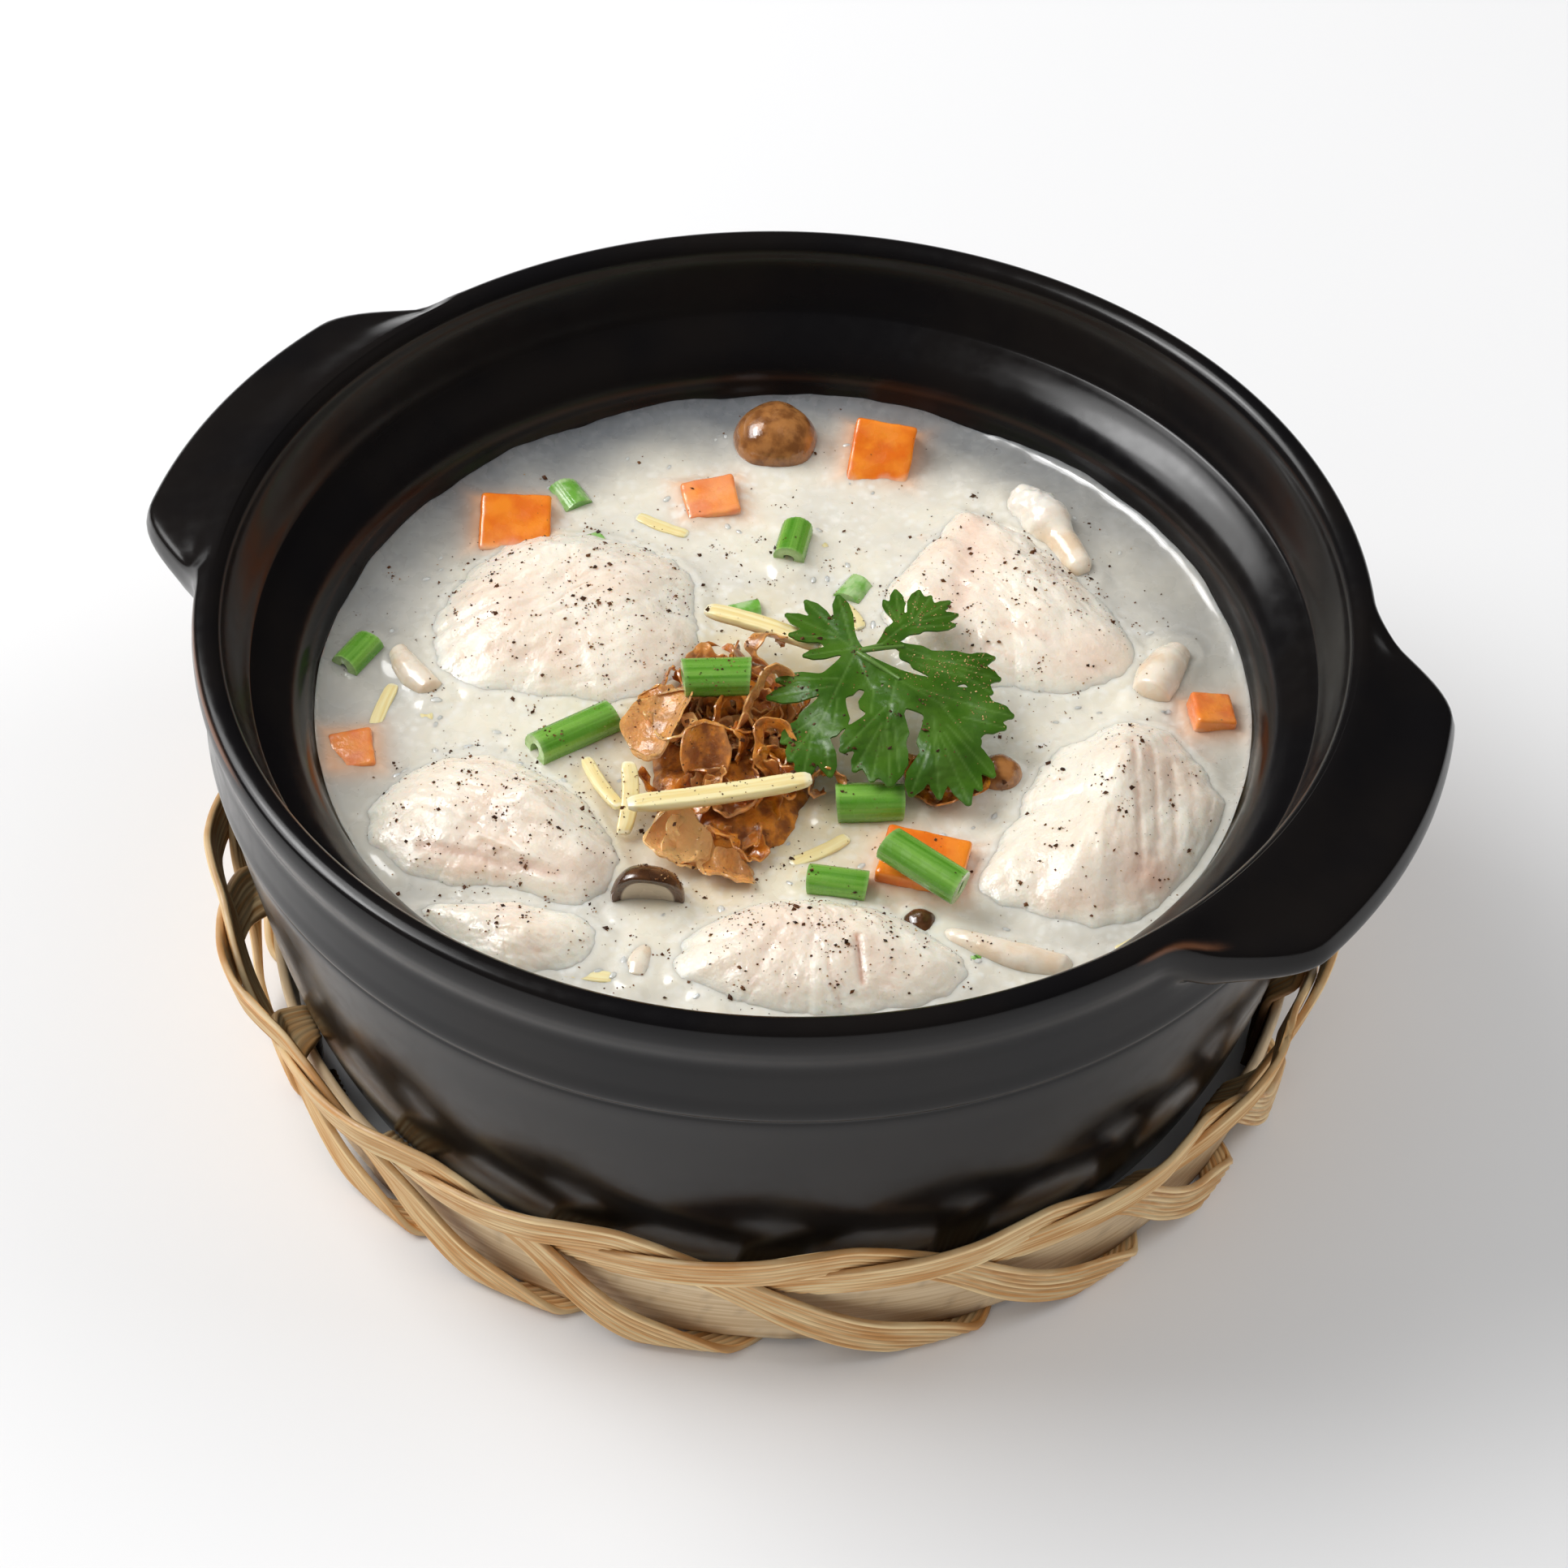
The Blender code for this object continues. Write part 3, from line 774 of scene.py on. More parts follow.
SCALLION = Fibrous(
    "scallion_green", bump=0.18, depth=0.1, fine=0.5, light=(0.23, 0.46, 0.075), dark=(0.075, 0.25, 0.014),
    deep=(0.42, 0.58, 0.24), wear=0.12, smooth=0.2, coat=0.5, scatter=0.12, spread=(0.6, 1.0, 0.3),
)
SUNK_GREEN = Moist(
    "scallion_under_congee", bump=0.3, scatter=0.4, first=(0.17, 0.42, 0.06), second=(0.42, 0.6, 0.28),
    third=(0.08, 0.3, 0.03), patch=0.3, wet=0.14, dry=0.3, coat=0.6,
)
GINGER = Fibrous(
    "ginger_shred", bump=0.4, depth=0.12, fine=1.2, light=(0.88, 0.79, 0.46), dark=(0.8, 0.64, 0.28),
    deep=(0.88, 0.84, 0.66), wear=0.25, smooth=0.3, coat=0.4, scatter=0.35, spread=(1.0, 0.8, 0.4),
)
CRISP = Moist(
    "shallot_crisp", bump=0.8, depth=0.35, scatter=0.3, spread=(1.4, 0.6, 0.2), first=(0.7, 0.23, 0.014),
    second=(0.19, 0.034, 0.003), third=(0.88, 0.5, 0.2), patch=0.34, grain=1.5, wet=0.08, dry=0.3, coat=0.7,
)
LEAF = Moist(
    "cilantro_leaf_green", bump=0.45, depth=0.2, scatter=0.1, spread=(0.4, 0.8, 0.2),
    first=(0.036, 0.105, 0.006),
    second=(0.058, 0.14, 0.011), third=(0.13, 0.24, 0.05), patch=0.16, grain=1.1, wet=0.3, dry=0.46,
    specular=0.28,
)
PEPPER = Speck("pepper_ground", specular=0.2)


# ------------------------------------------------------------------ clay pot

@dataclass
class ClayPot:
    """The pot in one piece with its rim, lid seat and two ears.

    Attributes:
        columns: Points round the pot.
        seat_height: Height of the lid seat's inner lip.
        seat_radius: Radius of that lip.
        seat_outer: Radius of the wall above the seat.
        band_foot: Height where the band under the rim starts.
        band_radius: Radius of the band.
        body_radius: Radius of the body just under the band.
        base_radius: Radius of the base.
        crest_radius: Radius of the rim's middle.
        crest_round: Radius of the rim's rounding.
        crest_height: Height of that rounding's centre.
        floor: Height of the floor inside.
        ear_azimuths: Where the ears are.
        ear_reach: How far an ear stands out.
        ear_flat: Half angle over which an ear keeps its reach.
        ear_end: Half angle at which it ends.
        ear_top: Height of an ear's top.
        ear_bottom: Height of its underside.
    """

    columns: int = 400
    seat_height: float = 73.3
    seat_radius: float = 86.0
    seat_outer: float = 95.2
    band_foot: float = 73.2
    band_radius: float = 103.6
    body_radius: float = 103.1
    base_radius: float = 76.0
    crest_radius: float = 102.1
    crest_round: float = 2.8
    crest_height: float = 93.7
    floor: float = 9.0
    ear_azimuths: Flat = (154.5, -26.5)
    ear_reach: float = 14.2
    ear_flat: float = 14.2
    ear_end: float = 27.2
    ear_top: float = 92.6
    ear_bottom: float = 83.4

    def body(self, height: float) -> float:
        """Outer radius of the tapered body at a height."""
        depth = self.band_foot - height
        return self.body_radius - 0.161 * depth - 7.0 * (depth / 70.0) ** 5

    def reach(self, azimuth: np.ndarray) -> np.ndarray:
        """How far the rim stands out beyond its band.

        Args:
            azimuth: Azimuths.

        Returns:
            The reach at each.
        """
        total = np.zeros_like(azimuth)
        for centre in self.ear_azimuths:
            off = np.abs((azimuth - centre + 180.0) % 360.0 - 180.0)
            crown = 1.0 + 0.06 * np.cos(np.radians(off * 4.0))
            total += self.ear_reach * crown * (1.0 - ease(self.ear_flat, self.ear_end, off))
        return total

    def profile(self) -> np.ndarray:
        """Rows of radius, height, share of the ear's reach and height in an ear, base to floor."""
        outside = [(self.base_radius - 6.0, 0.0), (self.base_radius, 0.0), (self.base_radius + 2.8, 0.5)]
        outside.append((self.base_radius + 4.4, 1.8))
        outside += [(self.body(h), h) for h in (6.5, 17.0, 32.0, 52.0, 66.0, 71.4)]
        band = [(self.body_radius - 0.25, self.band_foot - 0.5), (self.band_radius, self.band_foot + 0.7)]
        band.append((self.band_radius, self.band_foot + 5.3))
        rows = [(r, h, 0.0, h) for r, h in outside + band]
        b = self.band_radius
        crest = self.crest_height + self.crest_round
        rows += [
            (b, self.ear_bottom - 2.4, 0.03, self.ear_bottom - 2.0),
            (b, 84.0, 0.18, self.ear_bottom - 0.4),
            (b, 87.2, 0.72, self.ear_bottom + 0.2),
            (b + 0.6, 89.8, 1.0, self.ear_bottom + 3.9),
            (b + 0.95, 91.8, 0.96, self.ear_top - 1.9),
            (b + 0.85, 94.3, 0.83, self.ear_top - 0.1),
            (b + 0.3, 95.8, 0.42, self.ear_top + 0.9),
            (self.crest_radius, crest, 0.0, crest),
        ]
        for angle in (115.0, 140.0, 165.0):
            turn = math.radians(angle)
            r = self.crest_radius + self.crest_round * math.cos(turn)
            h = self.crest_height + self.crest_round * math.sin(turn)
            rows.append((r, h, 0.0, h))
        seat, lip, outer = self.seat_height, self.seat_radius, self.seat_outer
        inside = [
            (outer + 3.9, seat + 18.6), (outer + 2.6, seat + 14.8), (outer + 1.3, seat + 11.8),
            (outer + 0.5, seat + 9.9), (outer + 0.05, seat + 9.15), (outer - 0.6, seat + 8.75),
            (outer - 1.8, seat + 8.2), (outer - 3.3, seat + 7.3), (outer - 5.0, seat + 6.0),
            (lip + 2.6, seat + 4.6),
            (lip + 1.35, seat + 3.0), (lip + 0.5, seat + 1.3), (lip, seat - 0.2), (lip - 0.35, seat - 1.6),
            (INNER_RADIUS, LEVEL), (80.5, 30.0), (74.0, 14.0), (60.0, self.floor + 0.4), (30.0, self.floor),
        ]
        return spline(rows + [(r, h, 0.0, h) for r, h in inside], 5)

    def brown_glaze_and_reflection(self, rows: np.ndarray, azimuth: np.ndarray) -> np.ndarray:
        """Where the glaze is brown: thin glaze on the lip and short stretches of the rim's edge, and a
        painted brownish reflection on the inner wall, strongest at the back.

        Args:
            rows: Profile rows.
            azimuth: Azimuths of the columns.

        Returns:
            One value for each row and column.
        """
        lip = np.exp(-(((rows[:, 0] - self.seat_radius - 0.1) / 0.5) ** 2))
        lip *= np.exp(-(((rows[:, 1] - self.seat_height) / 1.0) ** 2))
        edge = np.exp(-(((rows[:, 1] - 95.1) / 0.6) ** 2)) * (rows[:, 0] > self.crest_radius)
        total = 0.25 * np.repeat(lip[:, None], len(azimuth), 1)
        for centre, half, strength in ((196.0, 13.0, 1.2), (-52.0, 4.0, 0.8)):
            off = np.abs((azimuth - centre + 180.0) % 360.0 - 180.0)
            total += strength * edge[:, None] * np.exp(-((off / half) ** 4))[None, :]
        # Painted brownish reflection on the inner wall above the seat, strongest at the back.
        wall = np.exp(-(((rows[:, 1] - self.seat_height - 14.5) / 4.2) ** 4)) * (rows[:, 0] < 99.5)
        back = 0.03 + 0.06 * (1.0 + np.sin(np.radians(azimuth))) ** 2 / 4.0
        return total + wall[:, None] * back[None, :]

    def build(self) -> bpy.types.Object:
        """Turn the profile round the axis, drawn out into the ears."""
        rows = self.profile()
        azimuth = np.arange(self.columns) * 360.0 / self.columns
        reach = self.reach(azimuth)
        mix = ease(0.0, 5.0, reach)
        radius = rows[:, 0:1] + rows[:, 2:3] * reach[None, :]
        height = rows[:, 1:2] + (rows[:, 3:4] - rows[:, 1:2]) * mix[None, :]
        turn = np.radians(azimuth)[None, :]
        height = np.clip(height, 0.0, self.crest_height + self.crest_round)
        grid = np.stack([radius * np.cos(turn), radius * np.sin(turn), height], -1)
        draft = Draft("clay_pot_glazed", sharp=70.0, forward=0.0)
        draft.grid(grid, caps=(True, True), thin=self.brown_glaze_and_reflection(rows, azimuth))
        return draft.make(GLAZE, "black_glaze", "clay_pot")


# ------------------------------------------------------------------ bamboo ring

@dataclass
class BambooRing:
    """The hoop and the strip that is wound over it in laps.

    Attributes:
        centre: The ring's middle, a little off the pot's axis.
        laps: Times that the strip goes round the hoop.
        first: Azimuth where the first lap leaves the hoop's top edge.
        width: Width of the strip.
        thickness: Thickness of the strip.
        ribs: Ribs across the strip.
        rib_depth: Height of a rib.
        layer: Distance between two strips that cross.
        arc: Length of the ring that a lap takes up.
        path: The strip's way: phase in laps, height on the outside and layer. Past the fold under the
            hoop, the height counts the length on downward.
        ahead: Laps whose foot is ahead of an even spacing, and by how much, in laps.
    """

    centre: Flat = (1.0, 2.5)
    laps: int = 17
    first: float = -8.6
    width: float = 7.7
    thickness: float = 1.2
    ribs: int = 7
    rib_depth: float = 0.17
    layer: float = 1.45
    arc: float = 37.7

    path: tuple[Place, ...] = (
        (-0.15, 3.6, 0.0), (-0.04, 11.0, -1.0), (0.05, 17.3, -1.0), (0.13, 20.6, -0.95), (0.22, 22.6, -0.75),
        (0.36, 24.6, -0.4), (0.5, 26.3, 0.1), (0.7, 28.4, 0.65), (0.85, 29.8, 0.95), (1.0, 31.0, 1.0),
        (1.12, 31.7, 0.8), (1.26, 32.0, 0.1), (1.42, 31.5, -0.7), (1.56, 30.4, -0.85), (1.7, 28.7, -0.65),
        (1.85, 26.2, -0.3), (2.0, 22.6, 0.1), (2.12, 19.0, 0.45), (2.25, 15.2, 0.7), (2.38, 11.8, 0.8),
        (2.5, 9.0, 0.8), (2.62, 6.8, 0.7), (2.74, 5.0, 0.5), (2.86, 3.2, 0.3), (2.98, 0.9, 0.1),
        (3.1, -2.4, 0.0),
        (3.2, -6.0, 0.0), (3.28, -9.4, 0.0),
    )
    ahead: tuple[tuple[int, float], ...] = ((9, -0.06), (10, -0.21), (11, 0.07), (8, 0.1), (14, -0.12))

    def drift(self, azimuth: np.ndarray) -> np.ndarray:
        """How far the winding runs ahead of an even one, in degrees."""
        off = (np.asarray(azimuth) + 8.0 + 180.0) % 360.0 - 180.0
        return -7.5 * np.where(off < 0.0, 1.0 - ease(0.0, 48.0, -off), 1.0 - ease(0.0, 150.0, off))

    def meridian(self) -> tuple[np.ndarray, np.ndarray]:
        """The strip's way down outside, under the hoop and up inside.

        Returns:
            Its coordinate, which is the height down to 4.5 and then counts on, and its points.
        """
        outer = [(104.5, 36.0), (104.1, 34.0), (102.2, 25.5), (100.4, 17.5), (99.9, 10.0), (99.9, 4.5)]
        under = [(99.9, 4.5), (99.7, 2.6), (98.8, 1.15), (97.0, 0.78), (95.0, 0.82), (93.6, 1.7), (93.1, 3.4),
            (93.9, 10.0)]
        a = spline(outer, 8)
        b = spline(under, 8)
        past = under[0][1] - np.concatenate([[0.0], np.cumsum(np.linalg.norm(np.diff(b, axis=0), axis=1))])
        return np.concatenate([a[:, 1], past[1:]])[::-1], np.vstack([a, b[1:]])[::-1]

    def lay(self, phase: np.ndarray, height: np.ndarray, layer: np.ndarray, start: float) -> np.ndarray:
        """Points on the strip.

        Args:
            phase: Phases in laps.
            height: Coordinates along the meridian.
            layer: Layers outward.
            start: Azimuth where the lap starts.

        Returns:
            The points.
        """
        coordinate, curve = self.meridian()
        radius = np.interp(height, coordinate, curve[:, 0])
        level = np.interp(height, coordinate, curve[:, 1])
        outward = ease(-6.0, 3.0, height)
        radius = radius + self.layer * layer * outward
        off = (start + phase * 360.0 / self.laps - 192.0 + 180.0) % 360.0 - 180.0
        radius = radius + 3.4 * ease(14.0, 30.0, height) * np.exp(-((off / 34.0) ** 2))
        inside = 93.0 + 0.118 * height
        rising = phase < 0.9
        past_hoop = np.maximum(ease(17.3, 21.5, height), ease(0.12, 0.5, phase))
        radius = np.where(rising, inside + (radius - inside) * past_hoop, radius)
        level = np.where(rising, np.maximum(height, 0.8), level)
        azimuth = start + phase * 360.0 / self.laps
        turn = np.radians(azimuth + self.drift(azimuth))
        x = self.centre[0] + radius * np.cos(turn)
        y = self.centre[1] + radius * np.sin(turn)
        return np.stack([x, y, level], -1)

    def lap(self, draft: Draft, index: int, rng: random.Random) -> None:
        """Add one lap of the strip.

        Args:
            draft: Piece that it is added to.
            index: Number of the lap.
            rng: Source of its small differences.
        """
        path = spline(self.path, 6)
        phase, height, layer = path[:, 0], path[:, 1], path[:, 2]
        sway = rng.uniform(-0.7, 0.7) * np.exp(-(((phase - 1.25) / 0.5) ** 2))
        sag = rng.uniform(-1.2, 0.9) * np.exp(-(((phase - 2.3) / 0.25) ** 2))
        bulge = rng.uniform(-0.3, 0.3) * np.exp(-(((phase - 2.5) / 0.14) ** 2))
        shift = rng.uniform(-0.05, 0.05) * np.exp(-(((phase - 1.6) / 1.0) ** 2))
        shift = shift + dict(self.ahead).get(index, 0.0) * np.exp(-(((phase - 2.8) / 0.6) ** 2))
        height = height + sway + sag
        layer = layer + bulge / self.layer
        length = phase * self.arc
        da, dq = np.gradient(length), np.gradient(height)
        size = np.hypot(da, dq)
        columns = 2 * self.ribs + 1
        side = np.linspace(-0.5, 0.5, columns)
        wide = self.width * (1.0 + 0.05 * rng.uniform(-1.0, 1.0)) * side[None, :]
        a = (phase + shift)[:, None] - wide * (dq / size)[:, None] / self.arc
        q = height[:, None] + wide * (da / size)[:, None]
        start = self.first + index * 360.0 / self.laps
        middle = self.lay(a, q, np.repeat(layer[:, None], columns, 1), start)
        normal = surface_normals(middle)
        rib = np.where(np.arange(columns) % 2 == 1, 1.0, -1.0) * self.rib_depth
        edge = np.where(np.abs(side) > 0.49, 0.62, 1.0)
        half = (0.5 * self.thickness * edge + rib * (np.abs(side) < 0.49))[None, :, None]
        front = middle + normal * half
        back = (middle - normal * half)[:, ::-1]
        along = np.concatenate([[0.0], np.cumsum(size)])[: len(phase)] + 400.0 * index
        across = (side + 0.5) * self.width + 11.0 * index
        # Painted shade: the strip is darkened where it rises inside the hoop, where it passes under the hoop,
        # and in the grooves between its ribs.
        deep = np.where(phase[:, None] < 0.9, 1.0 - ease(12.0, 23.0, q), 0.0)
        deep = np.maximum(deep, 1.0 - ease(-6.0, 0.5, q)) * 0.75
        groove_shade = 0.36 * (np.arange(columns) % 2 == 0)[None, :]
        deep = np.minimum(deep + groove_shade, 1.0)
        both = np.concatenate([front, back], 1)
        both[..., 2] = np.maximum(both[..., 2], 0.1)
        draft.grid(
            both, caps=(True, True),
            across=np.concatenate([across, across[::-1]])[None, :],
            along=along[:, None], deep=np.concatenate([deep, deep[:, ::-1]], 1),
        )

    def build_laps(self) -> bpy.types.Object:
        """The wound strip."""
        rng = random.Random(17)
        draft = Draft("bamboo_laps", sharp=80.0, forward=0.0)
        for index in range(self.laps):
            self.lap(draft, index, rng)
        return draft.make(STRIP, "bamboo_strip", "ring_braid")

    def build_hoop(self) -> bpy.types.Object:
        """The flat hoop, scraped smooth, with rough bark left on its lower edge."""
        columns = 420
        section = spline(
            [(96.2, 1.6), (96.5, 5.0), (97.2, 10.0), (97.9, 16.2), (97.5, 16.95), (96.4, 16.8), (95.6, 12.0),
             (94.7, 5.0), (94.3, 1.8), (95.2, 1.3), (96.2, 1.6)], 3)[:-1]
        turn = np.radians(np.arange(columns) * 360.0 / columns)
        ring = np.stack([np.cos(turn), np.sin(turn), np.zeros(columns)], -1)
        wobble = rough(ring * 97.0, 9.0, 3.0, 4.0)
        bark = ease(0.02, 0.3, rough(ring * 97.0, 14.0, 3.0, 9.0))
        low = 1.0 - ease(1.5, 5.5, section[:, 1])
        outside = (section[:, 0] > 95.6 + 0.13 * (section[:, 1] - 1.5)).astype(float)
        radius = section[:, 0:1] + 0.12 * wobble[None, :] + 0.45 * bark[None, :] * (low * outside)[:, None]
        height = section[:, 1:2] + (0.7 * wobble + 0.5 * bark)[None, :] * low[:, None]
        x = self.centre[0] + radius * np.cos(turn)
        y = self.centre[1] + radius * np.sin(turn)
        grid = np.stack([x, y, np.maximum(height, 0.8)], -1)
        draft = Draft("bamboo_hoop_scraped", sharp=80.0, forward=0.0)
        specks = ease(0.42, 0.6, rough(grid, 2.2, 2.0, 3.0))
        draft.grid(
            grid, wrap_rows=True, across=section[:, 1:2] * 1.4, along=np.degrees(turn)[None, :] * 1.7,
            deep=np.minimum(0.75 * bark[None, :] * (low * outside)[:, None] + 0.2 * specks, 1.0),
        )
        return draft.make(HOOP, "bamboo_hoop", "ring_hoop")

    def build(self) -> list[bpy.types.Object]:
        """Hoop and laps."""
        return [self.build_hoop(), self.build_laps()]


# ------------------------------------------------------------------ food shapes

def beside(x: np.ndarray, y: np.ndarray, start: Flat, end: Flat) -> np.ndarray:
    """Distance in plan from points to a line between two others.

    Args:
        x: The points' x.
        y: The points' y.
        start: Line's start.
        end: Line's end.

    Returns:
        The distances.
    """
    ax, ay = end[0] - start[0], end[1] - start[1]
    t = np.clip(((x - start[0]) * ax + (y - start[1]) * ay) / (ax * ax + ay * ay), 0.0, 1.0)
    return np.hypot(x - start[0] - t * ax, y - start[1] - t * ay)


@dataclass
class Fillet:
    """One poached piece of fish.

    Attributes:
        name: CAD node that it stands for.
        at: Its middle.
        corners: Its outline, round from the right.
        height: How far it stands above the congee.
        crests: Raised lines: start, end, rise and half width.
        cuts: Clefts: start, end, depth and half width.
        edge: How square its shoulders are.
        pink: Where it is pinkish: middle, radius and share.
        grain: Direction of its flakes.
        seed: Shifts its unevenness.
    """

    name: str
    at: Flat
    corners: tuple[Flat, ...]
    height: float
    crests: tuple[tuple[Flat, Flat, float, float], ...] = ()
    cuts: tuple[tuple[Flat, Flat, float, float], ...] = ()
    edge: float = 2.6
    pink: tuple[tuple[Flat, float, float], ...] = ()
    grain: float = 0.0
    seed: float = 0.0

    def outline(self, turn: np.ndarray) -> np.ndarray:
        """Reach of the outline at some angles, in radians."""
        corners = np.array(self.corners) - np.array(self.at)
        angle = np.unwrap(np.arctan2(corners[:, 1], corners[:, 0]))
        reach = np.hypot(corners[:, 0], corners[:, 1])
        place = np.concatenate([angle - ROUND, angle, angle + ROUND])
        smooth = spline(np.stack([place * 20.0, np.tile(reach, 3)], -1), 8)
        flat = np.asarray(turn).reshape(-1)
        ring = np.stack([np.cos(flat), np.sin(flat), np.zeros_like(flat)], -1) * 20.0 + self.seed
        wave = 1.0 + 0.045 * rough(ring, 5.0, 3.0) + 0.02 * rough(ring, 1.6, 2.0)
        made = np.interp(flat % ROUND, smooth[:, 0] / 20.0, smooth[:, 1]) * wave
        towards = self.at[0] * np.cos(flat) + (self.at[1] - FORWARD) * np.sin(flat)
        off = self.at[0] ** 2 + (self.at[1] - FORWARD) ** 2 - (INNER_RADIUS - 0.9) ** 2
        return np.minimum(made, np.sqrt(towards * towards - off) - towards).reshape(np.shape(turn))

    def outside(self, x: np.ndarray, y: np.ndarray) -> np.ndarray:
        """How far points are outside the piece in plan."""
        steps = np.linspace(0.0, ROUND, 361)
        reach = self.outline(steps)
        angle = np.arctan2(y - self.at[1], x - self.at[0]) % ROUND
        return np.hypot(x - self.at[0], y - self.at[1]) - np.interp(angle, steps, reach)

    def surface(self, x: np.ndarray, y: np.ndarray, share: np.ndarray) -> tuple[np.ndarray, np.ndarray]:
        """Height of the top surface, and its creases.

        Args:
            x: Places.
            y: Places.
            share: Share of the way to the outline.

        Returns:
            Heights above the congee, and how much of a crease each place is.
        """
        dome = (1.0 - np.clip(share, 0.0, 1.0) ** self.edge) ** 0.84
        z = self.height * 0.86 * dome
        for start, end, rise, half in self.crests:
            z = z + 0.7 * rise * np.exp(-((beside(x, y, start, end) / (0.72 * half)) ** 2)) * dome
        for start, end, depth, half in self.cuts:
            z = z - 0.7 * depth * np.exp(-((beside(x, y, start, end) / half) ** 2)) * dome
        where = np.stack([x, y, z], -1) + self.seed
        c, s = slant(self.grain)
        flakes = np.stack([(x * c + y * s) / 3.2, -x * s + y * c, z], -1) + self.seed
        crease = np.exp(-((rough(flakes, 4.4, 2.0) / 0.055) ** 2))
        crease = crease * ease(-0.1, 0.3, rough(where, 14.0, 2.0, 3.0))
        z = z + dome * (0.62 * rough(where, 10.0, 2.0) + 0.28 * rough(flakes, 3.0, 3.0, 7.0) - 0.22 * crease)
        threads = np.stack([(x * c + y * s) / 2.6, -x * s + y * c, z], -1) + self.seed
        fine = 0.13 * rough(where, 2.0, 3.0, 3.0) + 0.2 * rough(threads, 1.5, 2.0, 5.0)
        return z + fine * np.minimum(1.0, 3.0 * dome), crease

    def build(self) -> bpy.types.Object:
        """The piece, closed below."""
        columns, inner, rim = 190, 40, 20
        turn = around(columns)
        reach = self.outline(turn)
        share = np.concatenate([np.linspace(0.015, 0.84, inner), np.linspace(0.85, 1.0, rim)])
        x = share[:, None] * (reach * np.cos(turn))[None, :] + self.at[0]
        y = share[:, None] * (reach * np.sin(turn))[None, :] + self.at[1]
        z, crease = self.surface(x, y, np.repeat(share[:, None], columns, 1))
        z[-1] = -0.2
        skirt = [(0.985, -1.6), (0.9, -3.4), (0.6, -4.4)]
        xs = np.vstack([x] + [self.at[0] + (x[-1:] - self.at[0]) * s for s, _ in skirt])
        ys = np.vstack([y] + [self.at[1] + (y[-1:] - self.at[1]) * s for s, _ in skirt])
        zs = np.vstack([z] + [np.full((1, columns), h) for _, h in skirt]) + LEVEL
        tint = np.vstack([0.34 * crease] + [np.zeros((1, columns)) for _ in skirt])
        wash = 0.9 * ease(3.8, 0.3, zs - LEVEL + 1.8 * rough(np.stack([xs, ys, zs], -1), 4.0, 3.0, 2.0))
        for middle, size, much in self.pink:
            tint = np.maximum(tint, much * np.exp(-((np.hypot(xs - middle[0], ys - middle[1]) / size) ** 2)))
        for start, end, depth, half in self.cuts:
            near = np.exp(-((beside(xs, ys, start, end) / (1.5 * half)) ** 2))
            tint = np.maximum(tint, min(0.7, 0.5 * depth) * near)
        draft = Draft(f"{self.name}_poached", sharp=80.0)
        draft.grid(np.stack([xs, ys, zs], -1), caps=(True, True), tint=tint, wash=wash)
        return draft.make(FISH, "fish", self.name)


@dataclass
class Dice:
    """A cut carrot dice.

    Attributes:
        name: CAD node that it stands for.
        at: Its middle above the congee's level.
        sides: Its side lengths.
        turn: Its angles.
        film: Share of congee that clings to its top.
        rounding: Radius of its edges.
    """

    name: str
    at: Place
    sides: Place
    turn: Place
    film: float = 0.0
    rounding: float = 0.75

    def outside(self, x: np.ndarray, y: np.ndarray) -> np.ndarray:
        """How far points are outside the dice in plan."""
        c, s = slant(self.turn[2])
        u = np.abs((x - self.at[0]) * c + (y - self.at[1]) * s) - 0.5 * self.sides[0]
        v = np.abs((y - self.at[1]) * c - (x - self.at[0]) * s) - 0.5 * self.sides[1]
        return np.maximum(u, v)

    def build(self) -> bpy.types.Object:
        """The dice, slightly uneven, with rounded edges."""
        steps = 26
        line = np.linspace(-1.0, 1.0, steps)
        u, v = np.meshgrid(line, line)
        one = np.ones_like(u)
        draft = Draft(f"{self.name}_cut", sharp=60.0)
        sides = np.array(self.sides) * 0.5
        for axis in range(3):
            for sign in (-1.0, 1.0):
                parts = [u, v]
                parts.insert(axis, sign * one)
                cube = np.stack(parts, -1) * sides
                core = np.clip(cube, -(sides - self.rounding), sides - self.rounding)
                out = cube - core
                size = np.maximum(np.linalg.norm(out, axis=-1, keepdims=True), 1e-9)
                points = core + out / size * self.rounding
                skew = points[..., 2:3] * np.array([0.05, -0.04, 0.0])
                points = points + skew + 0.16 * rough(points, 4.0, 3.0, self.at[0])[..., None] * out / size
                placed = laid(points, self.turn, self.at)
                cloud = rough(placed, 4.0, 3.0, 5.0)
                base = 0.5 * ease(1.4, -0.3, placed[..., 2] - LEVEL + 1.2 * cloud)
                tint = np.maximum(base, self.film * (0.8 + 0.5 * cloud))
                draft.grid(placed, wrap_columns=False, tint=tint)
        made = draft.make(CARROT, "carrot", self.name)
        work = bmesh.new()
        work.from_mesh(made.data)
        bmesh.ops.remove_doubles(work, verts=work.verts, dist=0.02 * MM)
        bmesh.ops.recalc_face_normals(work, faces=work.faces)
        work.to_mesh(made.data)
        work.free()
        return made


